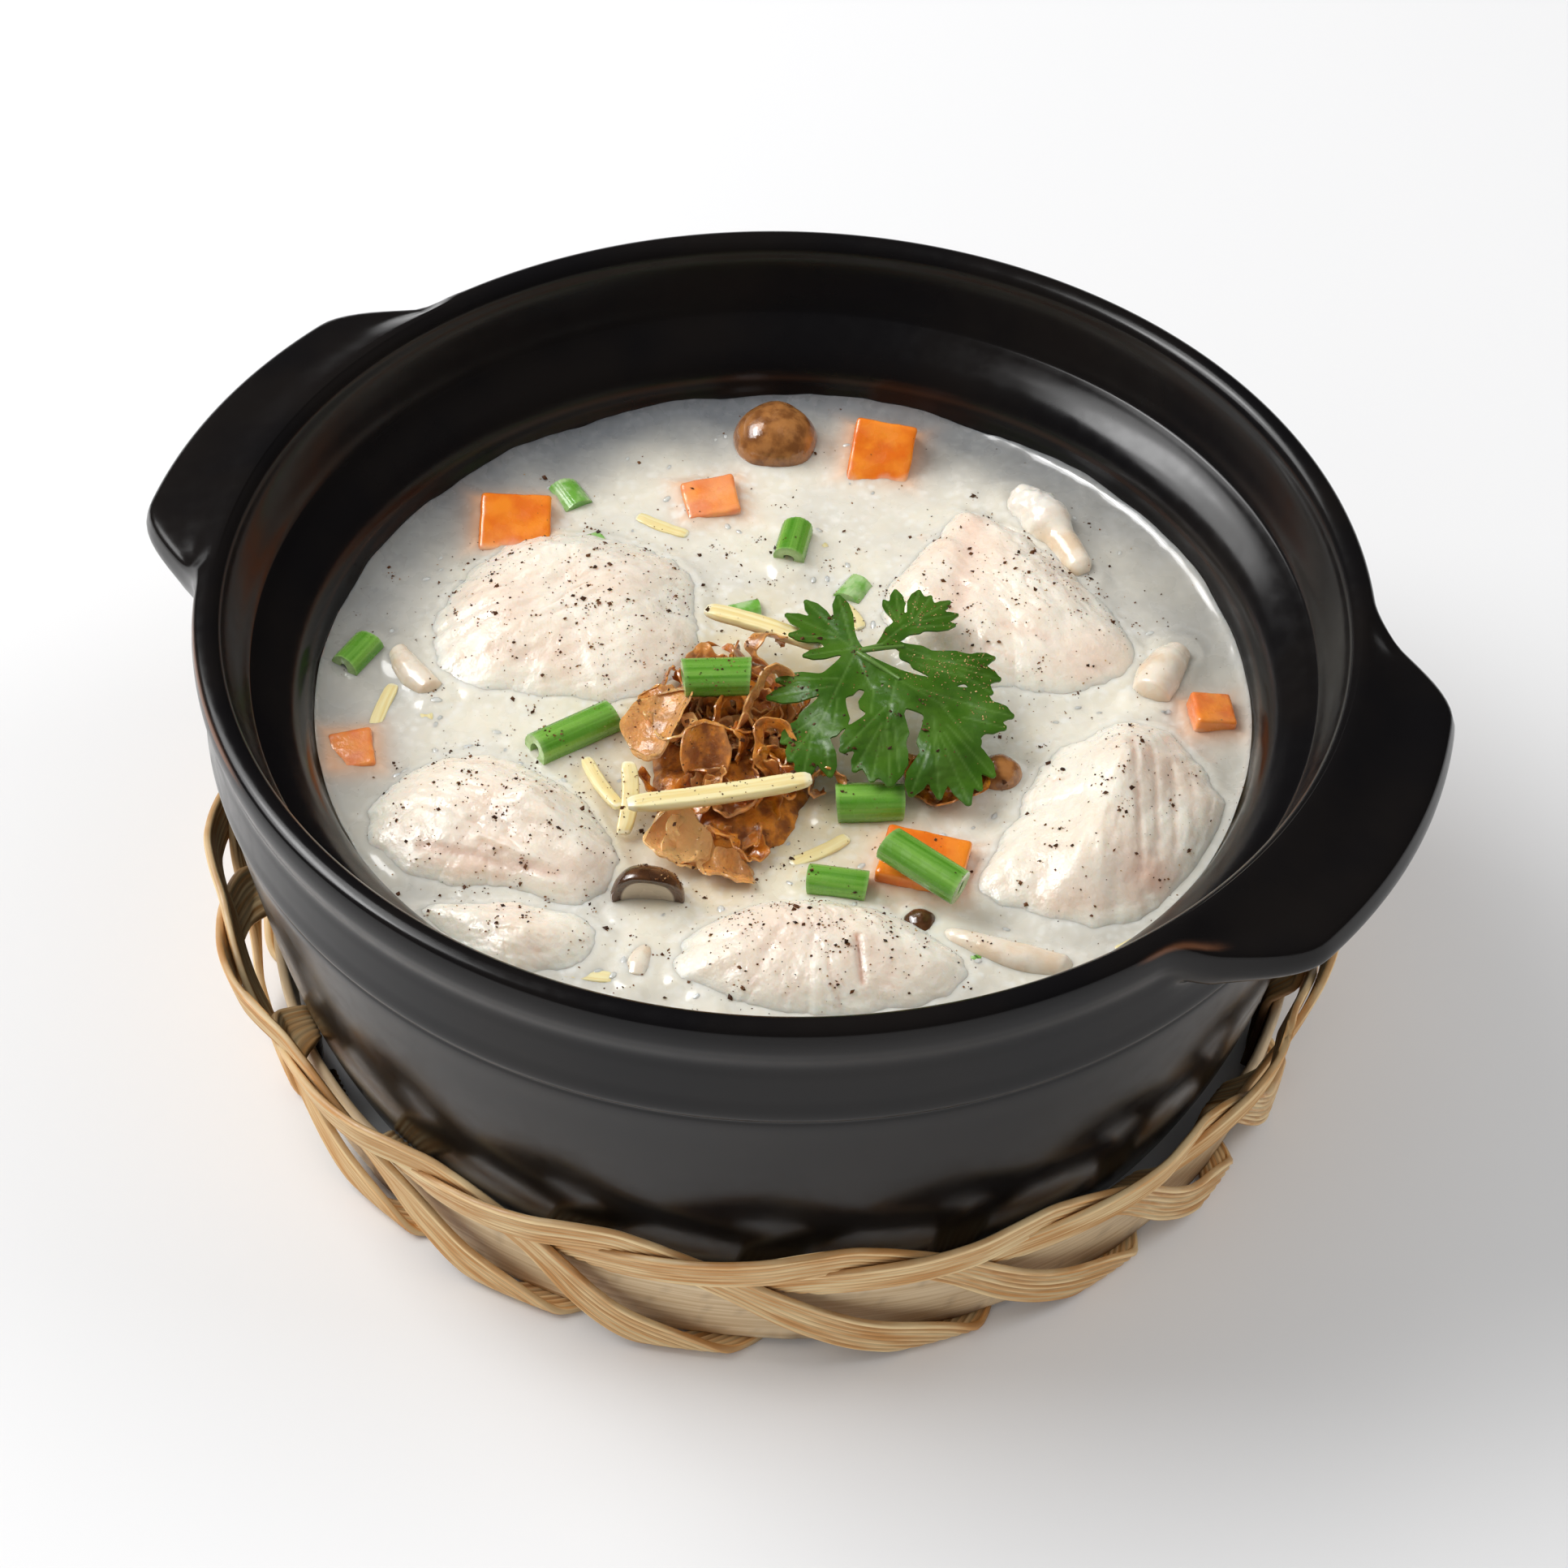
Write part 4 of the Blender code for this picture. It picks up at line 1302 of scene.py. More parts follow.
@dataclass
class Cap:
    """A mushroom's domed cap.

    Attributes:
        name: CAD node that it stands for.
        at: Middle of its edge above the congee's level.
        radius: Its radius.
        height: Its height.
        turn: Its angles.
        finish: Its finish.
    """

    name: str
    at: Place
    radius: float
    height: float
    turn: Place
    finish: Moist = CAP

    def outside(self, x: np.ndarray, y: np.ndarray) -> np.ndarray:
        """How far points are outside the cap in plan."""
        return np.hypot(x - self.at[0], y - self.at[1]) - self.radius

    def build(self) -> bpy.types.Object:
        """The cap with its rolled edge and pale underside."""
        columns = 72
        profile = spline(
            [(0.03, 1.0), (0.4, 0.94), (0.72, 0.74), (0.93, 0.42), (1.0, 0.12), (0.95, -0.06), (0.8, -0.02),
             (0.4, 0.08), (0.05, 0.1)], 6)
        turn = np.radians(np.arange(columns) * 360.0 / columns)
        wave = 1.0 + 0.03 * np.sin(3.0 * turn + self.at[0]) + 0.02 * np.sin(5.0 * turn)
        radius = self.radius * profile[:, 0:1] * wave
        rise = self.height * profile[:, 1:2] + 0 * turn
        grid = np.stack([radius * np.cos(turn), radius * np.sin(turn), rise], -1)
        grid = grid + 0.12 * rough(grid, 2.5, 3.0, 2.0)[..., None] * np.array([0.5, 0.5, 1.0])
        underside = 38
        tint = np.where(np.arange(len(profile)) >= underside, 0.9, 0.0)[:, None] + 0 * turn
        placed = laid(grid, self.turn, self.at)
        draft = Draft(f"{self.name}_wet", sharp=80.0)
        draft.grid(placed, caps=(True, True), tint=tint)
        return draft.make(self.finish, "mushroom_cap", self.name)


@dataclass
class Stem:
    """A mushroom's stem, thicker towards its foot.

    Attributes:
        name: CAD node that it stands for.
        start: One end above the congee's level.
        end: The other end.
        radius: Its radius.
        bend: How far its middle is off the straight line.
        frill: Height of the frilly bumps on it.
    """

    name: str
    start: Place
    end: Place
    radius: float
    bend: float
    frill: float = 0.0

    def outside(self, x: np.ndarray, y: np.ndarray) -> np.ndarray:
        """How far points are outside the stem in plan."""
        return beside(x, y, self.start[:2], self.end[:2]) - 0.9 * self.radius

    def build(self) -> bpy.types.Object:
        """A bent tapered bar with fine folds."""
        rows, columns = 44, 40
        start, along, side, lift = bar(self.start, self.end)
        t = np.linspace(0.0, 1.0, rows)[:, None]
        turn = around(columns)[None, :]
        thick = np.interp(t, (0.0, 0.06, 0.3, 0.66, 0.94, 1.0),
            (0.25, 0.6, 0.86, 1.0, 0.86, 0.4)) * self.radius
        knob = ease(0.62, 0.4, t) if self.frill else 0.0 * t
        neck = 0.22 * (1.0 - knob) if self.frill else 0.0
        thick = thick * (1.0 + 0.28 * knob - neck)
        middle = start + along * t + side * self.bend * np.sin(math.pi * t)
        out = np.cos(turn)[..., None] * side + np.sin(turn)[..., None] * lift
        grid = middle[:, None, :] + out * thick[..., None]
        folds = 0.1 * rough(grid, 3.0, 3.0, 1.0) + self.frill * knob * np.abs(rough(grid, 3.0, 3.0, 6.0))
        grid = grid + out * folds[..., None] + np.array([0.0, 0.0, LEVEL])
        draft = Draft(f"{self.name}_wet", sharp=80.0)
        tint = 0.6 * knob + 0.0 * folds
        draft.grid(grid, caps=(True, True), tint=tint)
        return draft.make(STEM, "mushroom_stem", self.name)


@dataclass
class Scallion:
    """A hollow slice of green scallion.

    Attributes:
        name: Name of the piece.
        at: Its middle above the congee's level.
        length: Its length.
        radius: Its outer radius.
        turn: Angle in plan.
        tilt: Angle down at its far end.
        wall: Thickness of its wall.
    """

    name: str
    at: Place
    length: float
    radius: float
    turn: float
    tilt: float = 0.0
    wall: float = 1.9

    def outside(self, x: np.ndarray, y: np.ndarray) -> np.ndarray:
        """How far points are outside the slice in plan."""
        c, s = (part * 0.5 * self.length for part in slant(self.turn))
        ends = [(self.at[0] + k * c, self.at[1] + k * s) for k in (-1, 1)]
        return beside(x, y, *ends) - self.radius + 8.0 * (self.at[2] > 4.0)

    def grid(self) -> tuple[np.ndarray, dict[str, np.ndarray]]:
        """The tube's points, outside and then inside, and what is painted on them."""
        columns, rows = 66, 16
        turn = around(columns)[None, :]
        x = np.linspace(-0.5, 0.5, rows)[:, None] * self.length
        ribs = 1.0 + 0.018 * np.cos(22.0 * turn) + 0.012 * np.cos(7.0 * turn + self.at[0])
        outer = self.radius * ribs * (1.0 - 0.03 * np.abs(x / self.length) ** 3)
        inner = np.full_like(outer, self.radius - self.wall)
        x = x + 0.35 * np.sin(turn + self.at[1]) * np.sign(x)
        flat = 0.9
        radii = (outer, 0.5 * (outer + inner), inner)
        skins = [np.stack([x, r * np.cos(turn), flat * r * np.sin(turn)], -1) for r in radii]
        middle = np.stack([skins[1][0], skins[1][-1]])
        grid = np.concatenate([skins[0], middle[1:], skins[2][::-1], middle[:1]])
        cut = np.concatenate([np.zeros(rows), [0.9], np.full(rows, 0.8), [0.9]])[:, None] + 0.0 * turn
        cut[0], cut[rows - 1] = 0.35, 0.35
        paint = {"across": np.broadcast_to(turn * self.radius + 9.0 * self.at[0], cut.shape),
                 "along": np.broadcast_to(grid[..., 0], cut.shape), "deep": cut}
        return laid(grid, (0.0, self.tilt, self.turn), self.at), paint

    def build(self) -> bpy.types.Object:
        """The slice as a piece."""
        grid, paint = self.grid()
        draft = Draft(f"{self.name}_cut", sharp=55.0)
        draft.grid(grid, wrap_rows=True, **paint)
        return draft.make(SCALLION, "scallion", self.name)


@dataclass
class Shred:
    """A cut shred of ginger.

    Attributes:
        name: Name of the piece.
        start: One end above the congee's level.
        end: The other end.
        width: Its width.
        thickness: Its thickness.
        bend: How far its middle is off the straight line.
    """

    name: str
    start: Place
    end: Place
    width: float
    thickness: float
    bend: float = 0.0

    def grid(self) -> tuple[np.ndarray, dict[str, np.ndarray]]:
        """The shred's points and what is painted on them."""
        rows = 40
        start, along, side, lift = bar(self.start, self.end)
        half = [(-1, -0.8), (-0.8, -1), (0.8, -1), (1, -0.8)]
        corner = spline(half + [(-x, -y) for x, y in half] + half[:1], 2)[:-1]
        t = np.linspace(0.0, 1.0, rows)
        share = np.interp(t, (0.0, 0.03, 0.12, 0.5, 0.88, 0.97, 1.0),
            (0.5, 0.78, 0.95, 1.0, 0.92, 0.76, 0.45))
        middle = start + along * t[:, None] + side * (self.bend * np.sin(math.pi * t))[:, None]
        w = 0.5 * self.width * share[:, None] * corner[None, :, 0]
        h = 0.5 * self.thickness * share[:, None] * corner[None, :, 1]
        grid = middle[:, None, :] + w[..., None] * side + h[..., None] * lift
        grid = grid + 0.1 * rough(grid, 1.6, 2.0, 8.0)[..., None] * lift
        ends = np.abs(t - 0.5)[:, None] > 0.47
        paint = {"across": w + 5.0 * self.start[1] + h, "along": np.linalg.norm(along) * t[:, None] + 0 * w,
                 "deep": 0.6 * ends + 0 * w}
        return grid + np.array([0.0, 0.0, LEVEL]), paint

    def build(self) -> bpy.types.Object:
        """The shred as a piece."""
        grid, paint = self.grid()
        draft = Draft(f"{self.name}_shred", sharp=50.0)
        draft.grid(grid, caps=(True, True), **paint)
        return draft.make(GINGER, "ginger", self.name)


# ------------------------------------------------------------------ fried shallots

@dataclass
class Crisps:
    """A heap of crisp fried shallot: rings, curls and flakes over a small core.

    Attributes:
        name: CAD node that the heap stands for.
        at: Its middle.
        half: Its half sizes in plan.
        height: Its height above the congee.
        count: Number of loose crisps.
        size: Smallest and largest radius of a ring.
        seed: Seed of the scatter.
    """

    name: str
    at: Flat
    half: Flat
    height: float
    count: int
    size: Flat
    seed: int

    def top(self, x: float, y: float) -> float:
        """Height of the core at a place from the heap's middle."""
        share = math.hypot(x / self.half[0], y / self.half[1])
        return self.height * 0.74 * max(0.0, 1.0 - share ** 2.2) ** 0.7

    def core(self, draft: Draft) -> None:
        """Add the lumpy core of the heap."""
        rows, columns = 40, 120
        share = np.linspace(0.02, 0.98, rows)[:, None]
        turn = around(columns)[None, :]
        x, y = self.half[0] * share * np.cos(turn), self.half[1] * share * np.sin(turn)
        z = self.height * 0.6 * (1.0 - share ** 2.2) ** 0.7 + 0 * turn
        where = np.stack([x, y, z], -1)
        z = z + 1.1 * rough(where, 4.0, 3.0, self.seed) - 0.6
        grid = np.stack([x + self.at[0], y + self.at[1], z + LEVEL], -1)
        draft.grid(grid, caps=(True, True), tint=0.1)

    def ring(
        self, draft: Draft, rng: random.Random, at: Place, turn: Place, radius: float, sweep: float,
        pale: float
    ) -> None:
        """Add a ring or a curl.

        Args:
            draft: Piece that it is added to.
            rng: Source of its shape.
            at: Its middle.
            turn: Its angles.
            radius: Its radius.
            sweep: Degrees that it goes round.
            pale: How pale it is.
        """
        rows = 40
        t = np.linspace(0.0, 1.0, rows)[:, None]
        angle = np.radians(sweep) * t
        shift = rng.uniform(0.0, 6.28)
        reach = radius * (1.0 + 0.2 * np.sin(2.0 * angle + shift) + 0.1 * np.sin(3.0 * angle + 2.0 * shift))
        reach = reach * (1.0 - (0.25 * t if sweep < 350.0 else 0.0))
        rise = rng.uniform(0.4, 1.6) * np.sin(2.0 * angle + 1.7 * shift)
        lean = rng.uniform(0.2, 1.1) + 0.4 * np.sin(angle + shift)
        across = np.linspace(-0.5, 0.5, 6)[None, :]
        taper = np.sin(math.pi * np.clip(t, 0.04, 0.96)) ** 0.35 if sweep < 350.0 else 1.0 + 0 * t
        wide = rng.uniform(2.6, 4.2) * taper * (1.0 + 0.25 * np.sin(5.0 * angle + shift))
        r = reach + across * wide * np.sin(lean)
        z = rise + across * wide * np.cos(lean) + 0.35 * np.sin(9.0 * angle + 4.0 * across + shift)
        sheet = np.stack([r * np.cos(angle), r * np.sin(angle), z], -1)
        sheet = sheet + 0.3 * rough(sheet, 2.2, 2.0, shift)[..., None]
        self._plate(draft, sheet, at, turn, pale)

    def flake(
        self, draft: Draft, rng: random.Random, at: Place, turn: Place, radius: float, torn: float,
        pale: float
    ) -> None:
        """Add a curved flake.

        Args:
            draft: Piece that it is added to.
            rng: Source of its shape.
            at: Its middle.
            turn: Its angles.
            radius: Its radius.
            torn: How ragged its edge is, from 0 to 1.
            pale: How pale it is.
        """
        u, v = np.meshgrid(np.linspace(-1.0, 1.0, 16), np.linspace(-1.0, 1.0, 20))
        x = radius * u * np.sqrt(1.0 - 0.45 * v * v)
        y = 1.3 * radius * v * np.sqrt(1.0 - 0.45 * u * u)
        round_it, shift = np.arctan2(y, x), rng.uniform(0.0, 6.28)
        wave = 0.2 * np.sin(3.0 * round_it + shift) + 0.1 * np.sin(7.0 * round_it + 2.0 * shift)
        ragged = 1.0 + torn * wave
        x, y = x * ragged, y * ragged
        z = rng.uniform(0.35, 0.7) * x * x / radius + 0.3 * torn * np.sin(1.3 * y) + 0.1 * y
        sheet = np.stack([x, y, z], -1)
        sheet = sheet + (0.25 + 0.4 * torn) * rough(sheet, 2.6, 3.0, rng.uniform(0.0, 9.0))[..., None]
        self._plate(draft, sheet, at, turn, pale)

    def _plate(self, draft: Draft, sheet: np.ndarray, at: Place, turn: Place, pale: float) -> None:
        """Thicken a sheet of points and add it.

        Args:
            draft: Piece that it is added to.
            sheet: Points in rows and columns.
            at: Its middle.
            turn: Its angles.
            pale: How pale it is.
        """
        normal = surface_normals(sheet)
        half = 0.17
        both = np.concatenate([sheet + normal * half, (sheet - normal * half)[:, ::-1]], 1)
        columns = sheet.shape[1]
        rim = np.abs(np.linspace(-1.0, 1.0, columns)) ** 3
        tint = np.clip(pale + 0.22 * np.concatenate([rim, rim[::-1]])[None, :], 0.0, 1.0) + 0 * both[..., 0]
        placed = laid(both, turn, at)
        placed[..., 2] = np.maximum(placed[..., 2], LEVEL - 1.5)
        draft.grid(placed, caps=(True, True), tint=tint)

    def build(self, heroes: Sequence[tuple[str, Place, Place, float, float, float]] = ()) -> bpy.types.Object:
        """The heap: the crisps that stand out, the scattered ones and the core.

        Args:
            heroes: Kind, place, angles, radius, sweep (of a flake: raggedness) and paleness of the crisps
                that stand out.

        Returns:
            The heap as one piece.
        """
        rng = random.Random(self.seed)
        draft = Draft(f"{self.name}_crisps", sharp=80.0)
        self.core(draft)
        for kind, at, turn, radius, sweep, pale in heroes:
            if kind == "flake":
                self.flake(draft, rng, at, turn, radius, sweep, pale)
            else:
                self.ring(draft, rng, at, turn, radius, sweep, pale)
        for _ in range(self.count):
            angle, share = rng.uniform(0.0, 6.283), rng.uniform(0.0, 0.92) ** 0.6
            x, y = self.half[0] * share * math.cos(angle), self.half[1] * share * math.sin(angle)
            lean = (rng.gauss(0.0, 26.0), rng.gauss(0.0, 26.0), rng.uniform(0.0, 360.0))
            at = (self.at[0] + x, self.at[1] + y, self.top(x, y) * rng.uniform(0.75, 1.0) + 0.2)
            radius = rng.uniform(*self.size)
            if rng.random() < 0.18:
                self.flake(draft, rng, at, lean, 0.8 * radius, 0.5, rng.choice((0.0, 0.0, 0.15, 0.4)))
            else:
                sweep = rng.choice((360.0, 300.0, 230.0, 180.0))
                self.ring(draft, rng, at, lean, radius, sweep, rng.choice((0.0, 0.1, 0.35)))
        return draft.make(CRISP, "fried_shallot", self.name)


# ------------------------------------------------------------------ cilantro

Lobe = tuple[Flat, Flat, float]


@dataclass
class Cilantro:
    """The sprig that lies on the garnish: a thin lobed leaf with raised veins.

    Attributes:
        leaflets: For each leaflet its lobes: start, tip and half width, as seen over a level plane.
        junction: Where the leaflets meet.
        crown: Height of the junction above the congee.
        plane: Height of the plane that the lobes are given on.
        droop: How fast the leaf falls away outward.
        thickness: Thickness of the leaf.
        cell: Size of the grid that its outline is traced on.
        crisp: How deep the notches between lobes are.
    """

    leaflets: tuple[tuple[Lobe, ...], ...]
    junction: Flat = (13.0, 4.0)
    crown: float = 12.0
    plane: float = 11.0
    droop: float = 0.0048
    thickness: float = 0.34
    cell: float = 0.36
    crisp: float = 3.2

    def lobes(self) -> list[tuple[Flat, Flat, float]]:
        """All lobes of all leaflets."""
        return [lobe for leaflet in self.leaflets for lobe in leaflet]

    def distance(self, x: np.ndarray, y: np.ndarray) -> tuple[np.ndarray, np.ndarray]:
        """How far points are outside the outline, and how near to a vein.

        Args:
            x: Places.
            y: Places.

        Returns:
            Distances outside (negative inside) and distances to the nearest vein.
        """
        total = np.zeros_like(x)
        vein = np.full_like(x, 99.0)
        for start, end, half in self.lobes():
            ax, ay = end[0] - start[0], end[1] - start[1]
            t = ((x - start[0]) * ax + (y - start[1]) * ay) / (ax * ax + ay * ay)
            c = np.clip(t, 0.0, 1.0)
            off = np.hypot(x - start[0] - c * ax, y - start[1] - c * ay)
            shape = np.interp(c, (0.0, 0.25, 0.6, 0.85, 1.0), (0.5, 0.72, 1.12, 0.95, 0.36)) * half
            total += np.exp(-self.crisp * (off - shape))
            vein = np.minimum(vein, off)
        return -np.log(total) / self.crisp, vein

    def height(self, x: np.ndarray, y: np.ndarray) -> np.ndarray:
        """Height of the leaf above the congee."""
        u, v = x - self.junction[0] - 1.0, y - self.junction[1] + 2.0
        wave = 0.5 * np.sin(0.42 * u + 0.2 * v) + 0.45 * np.sin(0.33 * v - 0.3 * u + 1.0)
        return self.crown - self.droop * (u * u + v * v) + wave

    def build(self) -> bpy.types.Object:
        """Trace the outline on a grid, and give the leaf its thickness and veins."""
        ends = np.array([end for _, end, _ in self.lobes()])
        low, high = ends.min(0) - 4.0, ends.max(0) + 4.0
        xs, ys = np.arange(low[0], high[0], self.cell), np.arange(low[1], high[1], self.cell)
        gx, gy = np.meshgrid(xs, ys)
        out, _ = self.distance(gx, gy)
        points: list[Flat] = []
        known: dict[tuple, int] = {}
        faces: list[tuple[int, ...]] = []

        def corner(j: int, i: int) -> int:
            """Index of a grid point inside the outline."""
            key = (j, i)
            if key not in known:
                known[key] = len(points)
                points.append((gx[j, i], gy[j, i]))
            return known[key]

        def crossing(a: tuple[int, int], b: tuple[int, int]) -> int:
            """Index of the point where the outline crosses a grid edge."""
            key = (min(a, b), max(a, b))
            if key not in known:
                known[key] = len(points)
                share = out[key[0]] / (out[key[0]] - out[key[1]])
                share = min(0.96, max(0.04, share))
                one, two = (gx[key[0]], gy[key[0]]), (gx[key[1]], gy[key[1]])
                points.append((one[0] + share * (two[0] - one[0]), one[1] + share * (two[1] - one[1])))
            return known[key]

        for j in range(len(ys) - 1):
            for i in range(len(xs) - 1):
                ring = [(j, i), (j, i + 1), (j + 1, i + 1), (j + 1, i)]
                face = []
                for a, b in zip(ring, ring[1:] + ring[:1]):
                    if out[a] < 0.0:
                        face.append(corner(*a))
                    if (out[a] < 0.0) != (out[b] < 0.0):
                        face.append(crossing(a, b))
                if len(face) >= 3:
                    faces.append(tuple(face))
        return self._plate(np.array(points), faces)

    def _plate(self, flat: np.ndarray, faces: list[tuple[int, ...]]) -> bpy.types.Object:
        """Both faces of the leaf and the rim between them.

        Args:
            flat: Points of the leaf in plan.
            faces: Its faces.

        Returns:
            The leaf as a piece.
        """
        x, y = flat[:, 0], flat[:, 1]
        _, vein = self.distance(x, y)
        ridge = np.exp(-((vein / 0.2) ** 2))
        level = self.height(x, y) - 0.11 * ridge + 0.12 * rough(np.stack([x, y, 0 * x], -1), 1.8, 2.0, 3.0)
        plan = np.stack([x, y + self.plane - level], -1)
        upper = np.column_stack([plan, level + 0.5 * self.thickness + LEVEL])
        lower = np.column_stack([plan, level - 0.5 * self.thickness + LEVEL])
        count = len(flat)
        edges: dict[tuple[int, int], None] = {}
        for face in faces:
            for a, b in zip(face, face[1:] + face[:1]):
                if (b, a) in edges:
                    del edges[(b, a)]
                else:
                    edges[(a, b)] = None
        rim = [(b, a, a + count, b + count) for a, b in edges]
        under = [tuple(i + count for i in reversed(face)) for face in faces]
        draft = Draft("cilantro_sprig", sharp=60.0)
        tint = np.concatenate([0.5 * ridge, 0.4 * ridge + 0.3])
        draft.add(np.vstack([upper, lower]), faces + under + rim, tint=tint)
        self.stalk(draft)
        return draft.make(LEAF, "cilantro", "cilantro_leaf")

    def stalk(self, draft: Draft) -> None:
        """Add the thin stalks that join the leaflets.

        Args:
            draft: The leaf.
        """
        for start, end in (((13.0, 4.0), (20.6, -2.6)), ((13.2, 4.4), (21.4, 6.0)),
            ((13.0, 4.4), (17.6, 6.2))):
            t = np.linspace(0.0, 1.0, 14)[:, None]
            ax, ay = end[0] - start[0], end[1] - start[1]
            x, y = start[0] + ax * t, start[1] + ay * t
            z = self.height(x, y) + 0.2
            turn = (np.arange(10) * 0.62832)[None, :]
            size = 0.5 - 0.15 * t
            side = np.array([-ay, ax]) / math.hypot(ax, ay)
            grid = np.stack([
                x + size * np.cos(turn) * side[0],
                y + self.plane - z + size * np.cos(turn) * side[1],
                z + LEVEL + size * np.sin(turn),
            ], -1)
            draft.grid(grid, caps=(True, True), tint=0.8)


# ------------------------------------------------------------------ congee and loose bits

@dataclass
class Congee:
    """The porridge up to its level, reaching just into the wall.

    Attributes:
        pieces: The food that it clings to.
        heap: Middle and half sizes of the warm stain round the crisps.
    """

    pieces: Sequence["Fillet | Dice | Cap | Stem | Scallion"] = ()
    heap: tuple[float, float, float, float] = (-4.0, -12.0, 36.0, 44.0)

    def cling(self, x: np.ndarray, y: np.ndarray) -> np.ndarray:
        """How far the porridge climbs beside the pieces in it."""
        total = np.zeros_like(x)
        for piece in self.pieces:
            far = np.maximum(piece.outside(x, y + FORWARD), 0.0)
            total = np.maximum(total, np.exp(-((far / 2.0) ** 1.4)))
        return total

    def build(self) -> bpy.types.Object:
        """The surface, gently uneven, and the body below it."""
        columns, rings = 440, 150
        turn = around(columns)[None, :]
        radius = (INNER_RADIUS + 0.25) * (1.0 - (1.0 - np.linspace(0.005, 1.0, rings)[:, None]) ** 1.25)
        x, y = radius * np.cos(turn), radius * np.sin(turn)
        where = np.stack([x, y, 0 * x], -1)
        slow = rough(where, 17.0, 2.0, 1.0)
        z = LEVEL + 0.5 * slow + 0.2 * rough(where, 4.2, 2.0, 5.0) + 0.03 * rough(where, 1.5, 2.0, 2.0)
        z = z + 1.0 * self.cling(x, y) + 1.2 * np.exp(-((INNER_RADIUS - radius) / 1.0)) * (1.0 + 0.4 * slow)
        # Painted shade cast by the wall, strongest at the back and left, partly the broth's own grey near the
        # wall.
        inward = INNER_RADIUS - radius + 4.0 * slow
        broth_and_wall_shade = ease(25.0, 0.0, inward) * (0.5 + 0.47 * np.sin(turn) - 0.1 * np.cos(turn)) + 0 * turn
        cx, cy, hx, hy = self.heap
        far = np.hypot((x - cx) / hx, (y - cy + FORWARD) / hy) + 0.25 * rough(where, 9.0, 2.0, 8.0)
        stain = 0.8 * (1.0 - ease(0.3, 1.25, far))
        # Painted orange glow of light from the carrots in the congee round them.
        blush = np.zeros_like(x)
        for piece in self.pieces:
            if isinstance(piece, Dice):
                near = np.maximum(piece.outside(x, y + FORWARD), 0.0)
                blush = np.maximum(blush, 0.6 * np.exp(-((near / 2.3) ** 1.4)))
        side = [(84.0, 55.0), (80.9, 30.0), (74.4, 14.4), (60.0, 9.6)]
        walls = [np.stack([r * np.cos(turn), r * np.sin(turn), h + 0 * turn], -1) for r, h in side]
        grid = np.concatenate([np.stack([x, y, z], -1)] + walls)
        extra = np.zeros((len(side), columns))
        draft = Draft("congee_milky_fill", sharp=80.0, forward=0.0)
        draft.grid(
            grid, caps=(True, True), tint=np.vstack([np.clip(broth_and_wall_shade, 0, 1), extra]),
            stain=np.vstack([stain, extra]),
            blush=np.vstack([blush, extra]),
        )
        return draft.make(CONGEE, "congee", "congee")


